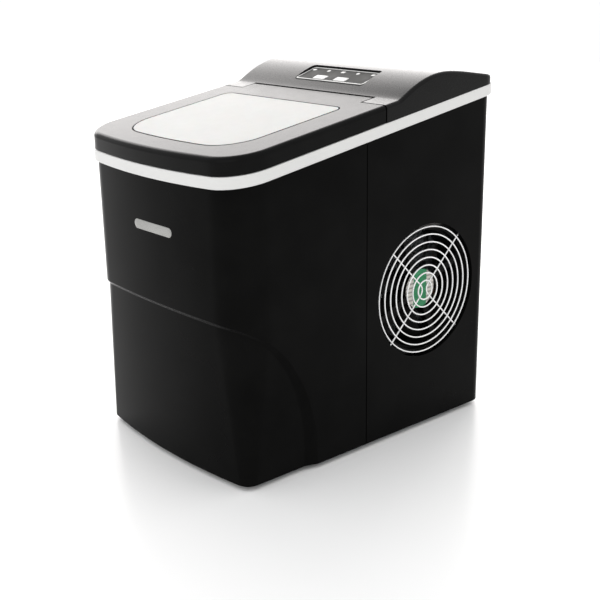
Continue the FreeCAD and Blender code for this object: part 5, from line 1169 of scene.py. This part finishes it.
def make_control_hood():
    """Control cover: rounded walls, an S-shaped top, the lid tongue's slot and the panel's opening."""
    cover = setting("cover")
    profile = cover_profile()
    corner_start = DEPTH / 2 - (WIDTH / 2 - COVER_HIGH.x) - setting("body").rear_corner
    depths = {y for y, _ in profile if y < corner_start - 0.0008} | {cover.slot_rear, corner_start}
    depths = sorted(depths)
    rings = [[Vector((x, y, band_level(y))) for x, y in hood_path(depths, 0.0)]]
    for inset, drop in quarter(cover.edge, 7):
        path = hood_path(depths, inset)
        rings.append([Vector((x, y, cover_height(profile, y) - drop)) for x, y in path])
    rows = []
    for side in hood_side(depths, cover.edge):
        rows.append([Vector((x, y, cover_height(profile, y))) for x, y in hood_row(*side)])
    part = gather(skin(rings, False), hood_top(rows), hood_slot(rows), *hood_ends(rings, rows[0]))
    piece = solid("control_hood", part, "cover_black", ROOT, ["control_cover"])
    thicken(piece, cover.wall)
    room, reach = 0.0002, 0.012
    width, length_ = cover.panel_width + 2 * room, cover.panel_length + 2 * room
    opening = slab(width, length_, cover.panel_corner, [(0, -reach), (0, reach)], 8)
    carve(piece, placed(opening, panel_matrix()))
    soften(piece, 0.0003, 40.0)


def make_panel():
    """Control panel: a plate and its pale border line."""
    cover = setting("cover")
    width, length_ = cover.panel_width, cover.panel_length
    edge = [(inset, -drop) for inset, drop in quarter(0.0003, 3)]
    plate = slab(width, length_, cover.panel_corner - 0.0002, [(0, -cover.panel_thick)] + edge, 8)
    piece = solid("panel_plate", placed(plate, panel_matrix()), "panel_grey", ROOT, ["control_panel"])
    soften(piece)
    line, margin, rise, root = 0.0013, 0.0010, 0.00016, -0.0001
    rings = []
    for inset, height in ((margin, root), (margin, rise), (margin + line, rise), (margin + line, root)):
        loop = rounded_loop(width - 2 * inset, length_ - 2 * inset, cover.panel_corner - inset, 8)
        rings.append([p + Vector((0, 0, height)) for p in loop])
    border = solid("panel_border", placed(skin(rings, True, True), panel_matrix()), "lens_white", ROOT)
    soften(border)


def make_keys():
    """The two keys: caps with rolled edges and domed tops."""
    plate_low, plate_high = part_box("control_panel")
    proud, skirt, roll = 0.0007, 0.0017, 0.0006
    cap_length, corner, crown = 0.008, 0.0014, 0.00012
    for key in ("select", "power"):
        low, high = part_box("button_" + key)
        x = (low.x + high.x) / 2 - (plate_low.x + plate_high.x) / 2
        levels = [(0.0, -skirt)] + [(inset, proud - crown - drop) for inset, drop in quarter(roll, 5)]
        levels += [(roll + 0.0012, proud - 0.00005), (roll + 0.0024, proud)]
        place = panel_matrix(x, setting("cover").button_row)
        cap = placed(slab(high.x - low.x, cap_length, corner, levels, 6), place)
        piece = solid(key + "_key_cap", cap, "key_white", key + "_key", ["button_" + key])
        soften(piece)


def make_marks():
    """The panel's five pale marks, each with round corners of its own."""
    cover = setting("cover")
    oblong, square = (0.0052, 0.0036), (0.0040, 0.0040)
    root, proud = -0.0012, 0.0003
    levels = [(0.0, root)] + [(inset, 0.00025 - drop) for inset, drop in quarter(0.0003, 3)]
    levels += [(0.0009, proud)]
    marks = []
    for index, corner in enumerate((0.0024, 0.0015, 0.0008, 0.0017, 0.0024)):
        width, height = square if index % 2 else oblong
        lens = slab(width, height, min(corner, height / 2 - 0.00005), levels, 6)
        marks.append(placed(lens, panel_matrix((index - 2) * cover.lens_pitch, cover.lens_row)))
    piece = solid("indicator_marks", gather(*marks), "lens_white", ROOT, ["indicator_lenses"])
    soften(piece)


def make_badge():
    """Plain silver bar with a soft crown that follows the bowed front."""
    low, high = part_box("front_badge")
    width, height = high.x - low.x, high.z - low.z
    radius = bow_radius() - OVERHANG
    centre = -DEPTH / 2 + bow_radius()
    thick = 0.0008
    levels = [(0.0, 0.00002)] + [(inset, thick - 0.0002 - drop) for inset, drop in quarter(0.0005, 4)]
    crown = ((0.0014, 0.0001), (0.0026, 0.00004), (0.0038, 0.0))
    levels += [(inset, thick - drop) for inset, drop in crown]
    points, faces = slab(width, height, height / 2 - 0.00005, levels, 14)
    bent = []
    for p in points:
        x = p.x + (low.x + high.x) / 2
        out = radius + p.z
        bent.append(Vector((x, centre - math.sqrt(out ** 2 - x ** 2), p.y + (low.z + high.z) / 2)))
    piece = solid("badge_bar", (bent, faces), "badge_silver", ROOT, ["front_badge"])
    soften(piece)


# ---------------------------------------------------------------- fan side


def fan_frame_matrix(x):
    """Place on the fan's axis: Z of the part points out to the right."""
    low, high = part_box("fan_label")
    centre = Vector((x, (low.y + high.y) / 2, (low.z + high.z) / 2))
    return Matrix.Translation(centre) @ Matrix.Rotation(math.pi / 2, 4, "Y")


def make_guard():
    """Fan guard: round rings welded on two V-bent wires."""
    fan = setting("fan")
    low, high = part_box("fan_guard")
    plane = high.x - fan.wire
    under = low.x + fan.wire
    middle = fan_frame_matrix(0.0).to_translation()
    parts = []
    for index in range(fan.rings):
        radius = fan.outer_ring - index * fan.ring_pitch
        turns = steps(0, 2 * math.pi, 96 if index < 6 else 56)[:-1]
        ring = [(middle.y + radius * math.cos(a), middle.z + radius * math.sin(a)) for a in turns]
        parts.append(tube([Vector((plane, y, z)) for y, z in ring], fan.wire, True))
    past_ring = 1.05
    reach = fan.outer_ring * past_ring * math.sqrt(0.5)
    tip = fan.apex - fan.bend * (math.sqrt(2) - 1)
    centre = tip + fan.bend * math.sqrt(2)
    turns = steps(math.radians(135), math.radians(225), 14)
    path = [(centre + fan.bend * math.cos(a), fan.bend * math.sin(a)) for a in turns]
    path = [(reach, reach - tip)] + path + [(reach, tip - reach)]
    for side in (-1, 1):
        wire = [Vector((under, middle.y + side * across, middle.z + up)) for across, up in path]
        parts.append(tube(wire, fan.wire))
    piece = solid("guard_wires", gather(*parts), "guard_chrome", ROOT, ["fan_guard"])
    soften(piece)


def fan_blade(root, tip, centre):
    """One blade: a cambered section that widens, flattens and sweeps back towards its tip."""
    middle = fan_frame_matrix(0.0).to_translation()
    radial, chordwise = 12, 8
    sink = 0.0012
    loops = []
    for i, radius in enumerate(steps(setting("fan").hub - sink, tip, radial)):
        share = i / radial
        chord = 0.0195 + 0.0065 * share
        pitch = math.radians(46 - 20 * share)
        sweep = math.radians(16) * share ** 1.4
        loop = []
        for face in (1, -1):
            line = []
            for v in steps(-0.5, 0.5, chordwise):
                camber = 0.0022 * (1 - 4 * v * v)
                thick = 0.0008 * math.sqrt(max(1 - (2 * v) ** 2, 0.02)) * (1.1 - 0.5 * share)
                out = camber + face * thick
                along = chord * v * math.cos(pitch) - out * math.sin(pitch)
                axial = chord * v * math.sin(pitch) + out * math.cos(pitch)
                a = root + sweep + along / radius
                y, z = middle.y + radius * math.cos(a), middle.z + radius * math.sin(a)
                line.append(Vector((centre + axial, y, z)))
            loop += line if face > 0 else reversed(line)
        loops.append(loop)
    return capped(loops)


def make_fan_wheel():
    """Fan wheel: a hub with a rounded face, its shaft and twisted, swept blades."""
    fan = setting("fan")
    low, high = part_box("fan_rotor")
    gap, stub_gap, stub_out = 0.0003, 0.0004, 0.0045
    tip = (high.y - low.y) / 2 - gap
    hub, bore, chamfer, shaft = fan.hub, 0.004, 0.0012, 0.0019
    depth = high.x - stub_out - low.x
    profile = [(bore, 0.0), (hub - chamfer, 0.0), (hub, chamfer)]
    profile += [(hub - inset, depth - drop) for inset, drop in quarter(0.0022, 5)] + [(bore, depth)]
    stub = [(shaft, 0.0), (shaft, high.x - low.x - stub_gap)]
    place = fan_frame_matrix(low.x)
    parts = [placed(lathe(profile, 64), place), placed(lathe(stub, 24), place)]
    centre = low.x + depth * 0.52
    parts += [fan_blade(2 * math.pi * blade / fan.blades, tip, centre) for blade in range(fan.blades)]
    piece = solid("fan_wheel", gather(*parts), "fan_black", "rotor", ["fan_rotor"])
    soften(piece)


def make_hub_disc():
    """Printed label on the fan's hub: a thin crowned disc."""
    low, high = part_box("fan_label")
    radius = (high.y - low.y) / 2
    thick = high.x - low.x
    profile = [(radius - 0.0001, 0.0), (radius, 0.0001), (radius - 0.0003, thick - 0.00008)]
    profile += [(radius * 0.6, thick - 0.00003), (radius * 0.05, thick)]
    part = placed(lathe(profile, 72), fan_frame_matrix(low.x))
    piece = solid("hub_disc", part, "fan_label", ROOT, ["fan_label"])
    soften(piece)


def screw_form(radius, height, shank, reach):
    """Pan-head screw along Z with a cross recess; its seat is at zero and its shank goes down."""
    crown = [(radius, 0.0), (radius, height * 0.35)]
    crown += [(radius * math.cos(a), height * (0.35 + 0.65 * math.sin(a))) for a in steps(0.25, 1.35, 5)]
    profile = [(shank * 0.6, -reach), (shank, -reach + shank), (shank, 0.0)] + crown
    holder = linked("screw", lathe(profile, 32))
    blade = slab(radius * 1.15, radius * 0.26, radius * 0.05, [(0, height * 0.35), (0, height * 1.5)], 2)
    for turn in (0.0, math.pi / 2):
        carve(holder, placed(blade, Matrix.Rotation(turn, 4, "Z")))
    points = [v.co.copy() for v in holder.data.vertices]
    faces = [tuple(p.vertices) for p in holder.data.polygons]
    bpy.data.objects.remove(holder)
    return points, faces


def make_screws():
    """Fan screws and case screws with cross recesses."""
    low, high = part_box("fan_screws")
    head, radius = 0.0016, 0.004
    form = screw_form(radius, head, 0.0019, 0.024)
    parts = []
    for y in (low.y + radius, high.y - radius):
        for z in (low.z + radius, high.z - radius):
            place = Matrix.Translation((high.x - head, y, z)) @ Matrix.Rotation(math.pi / 2, 4, "Y")
            driven = math.radians(20) * (1 + y * 40)
            parts.append(placed(form, place @ Matrix.Rotation(driven, 4, "Z")))
    piece = solid("fan_mount_screws", gather(*parts), "zinc_steel", ROOT, ["fan_screws"])
    soften(piece)
    low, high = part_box("case_screws")
    radius = 0.0034
    form = screw_form(radius, head, 0.0014, 0.0068)
    parts = []
    turn = Matrix.Rotation(-math.pi / 2, 4, "X")
    for x in (low.x + radius, high.x - radius):
        place = Matrix.Translation((x, high.y - head, low.z + radius)) @ turn
        driven = x * 7
        parts.append(placed(form, place @ Matrix.Rotation(driven, 4, "Z")))
    piece = solid("rear_case_screws", gather(*parts), "zinc_steel", ROOT, ["case_screws"])
    soften(piece)


def make_feet():
    """Rubber feet: tapered discs with a dished sole."""
    low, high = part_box("rubber_feet")
    radius = 0.011
    height = high.z - low.z
    bore = 0.003
    profile = [(bore, 0.0008), (0.0072, 0.0007), (0.0082, 0.0)]
    profile += [(radius - 0.0018, 0.0), (radius - 0.0012, 0.0006), (radius - 0.0006, height * 0.55)]
    profile += [(radius, height * 0.62), (radius, height), (bore, height)]
    parts = []
    for x in (low.x + radius, high.x - radius):
        for y in (low.y + radius, high.y - radius):
            parts.append(placed(lathe(profile, 48), Matrix.Translation((x, y, low.z))))
    piece = solid("feet", gather(*parts), "foot_rubber", ROOT, ["rubber_feet"])
    soften(piece, 0.00015, 30.0)


def make_drain_cap():
    """Pull-out drain plug: a fluted cap on a tapered stem with a sealing bead."""
    low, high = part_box("drain_plug")
    cap = (high.z - low.z) / 2
    stem = 0.004
    reach = high.x - low.x
    flutes = 24

    def flute(angle, radius):
        return 0.00035 * max(math.cos(flutes * angle), 0.0) if radius > cap * 0.93 else 0.0

    proud, dish = 0.0042, 0.0036
    profile = [(stem * 0.5, -reach + proud), (stem * 0.9, -reach + proud + 0.001)]
    profile += [(stem, -0.008), (stem + 0.0002, -0.007), (stem, -0.006), (stem, 0.0)]
    profile += [(cap - 0.0006, 0.0), (cap, 0.0005), (cap, 0.0030), (cap - 0.0008, 0.0040)]
    profile += [(cap * 0.72, proud), (cap * 0.66, dish), (cap * 0.2, dish)]
    place = Matrix.Translation((low.x + proud, (low.y + high.y) / 2, (low.z + high.z) / 2))
    part = placed(lathe(profile, 144, flute), place @ Matrix.Rotation(-math.pi / 2, 4, "Y"))
    piece = solid("drain_cap", part, "base_grey", "plug", ["drain_plug"])
    soften(piece)


# ---------------------------------------------------------------- carried-over nodes


SOFT_EDGES = {
    "rear_housing": 0.00035,
    "ice_basket": 0.0005,
    "water_tray": 0.0003,
    "inner_liner": 0.0004,
    "base_pan": 0.0004,
    "ice_chute": 0.0003,
    "fan_frame": 0.0003,
    "tray_motor": 0.0003,
    "control_board": 0.0002,
    "transformer": 0.0004,
    "pump_housing": 0.0003,
}


def carry_nodes():
    """Give every CAD node its finish, and soft edges where they catch the light."""
    slots = {}
    for entry in frame["record"]["materials"]:
        for node in entry.get("nodes", []):
            slots[node] = entry["slot"]
    for name, node in frame["nodes"].items():
        for holder in node.material_slots:
            slot = slots.get(name) or holder.material.name.split(".")[0]
            holder.material = finish_of(slot)
        if name in SOFT_EDGES and not node.hide_render:
            soften(node, SOFT_EDGES[name], 40.0)


# ---------------------------------------------------------------- stage


def area_light(name, place, target, size, radiance):
    """A soft rectangular light that faces a target, its power worked out from its radiance."""
    data = bpy.data.lights.new(name, "AREA")
    data.shape = "RECTANGLE"
    data.size, data.size_y = size
    data.energy = radiance * math.pi * size[0] * size[1]
    light = bpy.data.objects.new(name, data)
    light.location = place
    aim = Vector(target) - Vector(place)
    light.rotation_mode = "QUATERNION"
    light.rotation_quaternion = aim.to_track_quat("-Z", "Y")
    bpy.context.scene.collection.objects.link(light)
    return light


def make_floor():
    """Pale floor with a faint sheen."""
    dim, bright = (0.93, 0.93, 0.93), (0.94, 0.94, 0.94)
    tree = Tree("floor_paper")
    tree.drive("Base Color", tree.ramp(tree.noise(0.3, 2.0), (0.3, dim), (0.7, bright)))
    tree.drive("Roughness", tree.span(tree.noise(0.1, 3.0), 0.22, 0.26))
    tree.fix(Specular_IOR_Level=0.10)
    extent = 30.0
    corners = [(-extent, -extent, 0), (extent, -extent, 0), (extent, extent, 0), (-extent, extent, 0)]
    floor = linked("floor", sheet(corners))
    floor.data.materials.append(tree.material)


def make_lights():
    """White surroundings, a warm softbox behind and a weaker one before the front, in plain tones."""
    stage = setting("stage")
    world = bpy.data.worlds.new("studio")
    world.use_nodes = True
    backdrop = world.node_tree.nodes["Background"]
    backdrop.inputs["Color"].default_value = (1.0, 1.0, 1.0, 1.0)
    backdrop.inputs["Strength"].default_value = stage.sky
    bpy.context.scene.world = world
    bpy.context.scene.view_settings.view_transform = "Standard"
    back = area_light("softbox_back", (-2.3, 1.7, 1.60), (0, 0, 0.30), (4.0, 2.4), stage.back)
    back.data.color = (1.0, 0.970, 0.955)
    area_light("softbox_front", (0.6, -2.6, 1.6), (0, 0, 0.2), (2.6, 1.8), stage.fill)


def make_camera():
    """The camera at its place, turned, dipped and rolled."""
    stage = setting("stage")
    scene = bpy.context.scene
    azimuth, pitch, roll = stage.azimuth, stage.pitch, stage.roll
    forward = Vector((
        -math.sin(azimuth) * math.cos(pitch), math.cos(azimuth) * math.cos(pitch), -math.sin(pitch)
    ))
    right = Vector((math.cos(azimuth), math.sin(azimuth), 0.0))
    up = right.cross(forward)
    turned_right = right * math.cos(roll) + up * math.sin(roll)
    turned_up = up * math.cos(roll) - right * math.sin(roll)
    data = bpy.data.cameras.new("camera")
    data.lens = stage.lens
    data.sensor_width = 36.0
    data.clip_start = 0.01
    data.clip_end = 100.0
    camera = bpy.data.objects.new("camera", data)
    axes = Matrix((turned_right, turned_up, -forward)).transposed().to_4x4()
    camera.matrix_world = Matrix.Translation(Vector(stage.camera)) @ axes
    scene.collection.objects.link(camera)
    scene.camera = camera


# ---------------------------------------------------------------- operators, panel, registration


class ICEMAKER_OT_band(bpy.types.Operator):
    """Build the white band round the machine"""

    bl_idname = "icemaker.band"
    bl_label = "White Band"

    def execute(self, context):
        make_band()
        return {"FINISHED"}


class ICEMAKER_OT_front_housing(bpy.types.Operator):
    """Build the front housing with its recess"""

    bl_idname = "icemaker.front_housing"
    bl_label = "Front Housing"

    def execute(self, context):
        make_front_shell()
        return {"FINISHED"}


class ICEMAKER_OT_badge(bpy.types.Operator):
    """Build the plain silver bar on the front"""

    bl_idname = "icemaker.badge"
    bl_label = "Badge"

    def execute(self, context):
        make_badge()
        return {"FINISHED"}


class ICEMAKER_OT_feet(bpy.types.Operator):
    """Build the four rubber feet"""

    bl_idname = "icemaker.feet"
    bl_label = "Feet"

    def execute(self, context):
        make_feet()
        return {"FINISHED"}


class ICEMAKER_OT_lid(bpy.types.Operator):
    """Build the lid and its hinge barrel"""

    bl_idname = "icemaker.lid"
    bl_label = "Lid"

    def execute(self, context):
        make_lid_shell()
        make_hinge()
        return {"FINISHED"}


class ICEMAKER_OT_window(bpy.types.Operator):
    """Build the lid's window and the dark strip of painted shade in its gap"""

    bl_idname = "icemaker.window"
    bl_label = "Window"

    def execute(self, context):
        make_pane()
        make_window_gap_shade()
        return {"FINISHED"}


class ICEMAKER_OT_hood(bpy.types.Operator):
    """Build the control cover"""

    bl_idname = "icemaker.hood"
    bl_label = "Control Cover"

    def execute(self, context):
        make_control_hood()
        return {"FINISHED"}


class ICEMAKER_OT_panel(bpy.types.Operator):
    """Build the panel's plate and its border line"""

    bl_idname = "icemaker.panel"
    bl_label = "Control Panel"

    def execute(self, context):
        make_panel()
        return {"FINISHED"}


class ICEMAKER_OT_keys(bpy.types.Operator):
    """Build the panel's keys and marks"""

    bl_idname = "icemaker.keys"
    bl_label = "Keys And Marks"

    def execute(self, context):
        make_keys()
        make_marks()
        return {"FINISHED"}


class ICEMAKER_OT_fan(bpy.types.Operator):
    """Build the fan wheel and the label on its hub"""

    bl_idname = "icemaker.fan"
    bl_label = "Fan"

    def execute(self, context):
        make_fan_wheel()
        make_hub_disc()
        return {"FINISHED"}


class ICEMAKER_OT_guard(bpy.types.Operator):
    """Build the fan's wire guard"""

    bl_idname = "icemaker.guard"
    bl_label = "Fan Guard"

    def execute(self, context):
        make_guard()
        return {"FINISHED"}


class ICEMAKER_OT_screws(bpy.types.Operator):
    """Build the fan's screws and the case screws"""

    bl_idname = "icemaker.screws"
    bl_label = "Screws"

    def execute(self, context):
        make_screws()
        return {"FINISHED"}


class ICEMAKER_OT_drain(bpy.types.Operator):
    """Build the drain plug"""

    bl_idname = "icemaker.drain"
    bl_label = "Drain Plug"

    def execute(self, context):
        make_drain_cap()
        return {"FINISHED"}


class ICEMAKER_OT_finishes(bpy.types.Operator):
    """Give every carried-over part its finish"""

    bl_idname = "icemaker.finishes"
    bl_label = "Finishes"

    def execute(self, context):
        carry_nodes()
        return {"FINISHED"}


class ICEMAKER_OT_stage(bpy.types.Operator):
    """Set the floor, the lights and the camera"""

    bl_idname = "icemaker.stage"
    bl_label = "Stage"

    def execute(self, context):
        make_floor()
        make_lights()
        make_camera()
        return {"FINISHED"}


OPERATORS = (
    ICEMAKER_OT_band,
    ICEMAKER_OT_front_housing,
    ICEMAKER_OT_badge,
    ICEMAKER_OT_feet,
    ICEMAKER_OT_lid,
    ICEMAKER_OT_window,
    ICEMAKER_OT_hood,
    ICEMAKER_OT_panel,
    ICEMAKER_OT_keys,
    ICEMAKER_OT_fan,
    ICEMAKER_OT_guard,
    ICEMAKER_OT_screws,
    ICEMAKER_OT_drain,
    ICEMAKER_OT_finishes,
    ICEMAKER_OT_stage,
)


class ICEMAKER_PT_panel(bpy.types.Panel):
    """Lists the steps that build the ice maker"""

    bl_idname = "ICEMAKER_PT_panel"
    bl_label = "Ice Maker"
    bl_space_type = "VIEW_3D"
    bl_region_type = "UI"
    bl_category = "Ice Maker"

    def draw(self, context):
        for operator in OPERATORS:
            self.layout.operator(operator.bl_idname)
        for name, group in GROUPS.items():
            column = self.layout.column(heading=name)
            for key in group.__annotations__:
                column.prop(getattr(context.scene, name), key)


def register():
    for group in GROUPS.values():
        bpy.utils.register_class(group)
    for name, group in GROUPS.items():
        setattr(bpy.types.Scene, name, PointerProperty(type=group))
    for operator in OPERATORS:
        bpy.utils.register_class(operator)
    bpy.utils.register_class(ICEMAKER_PT_panel)


def unregister():
    bpy.utils.unregister_class(ICEMAKER_PT_panel)
    for operator in reversed(OPERATORS):
        bpy.utils.unregister_class(operator)
    for name, group in reversed(GROUPS.items()):
        delattr(bpy.types.Scene, name)
        bpy.utils.unregister_class(group)


def main():
    """Build everything in order."""
    register()
    for operator in OPERATORS:
        group, name = operator.bl_idname.split(".")
        getattr(getattr(bpy.ops, group), name)()


if __name__ == "__main__":
    main()
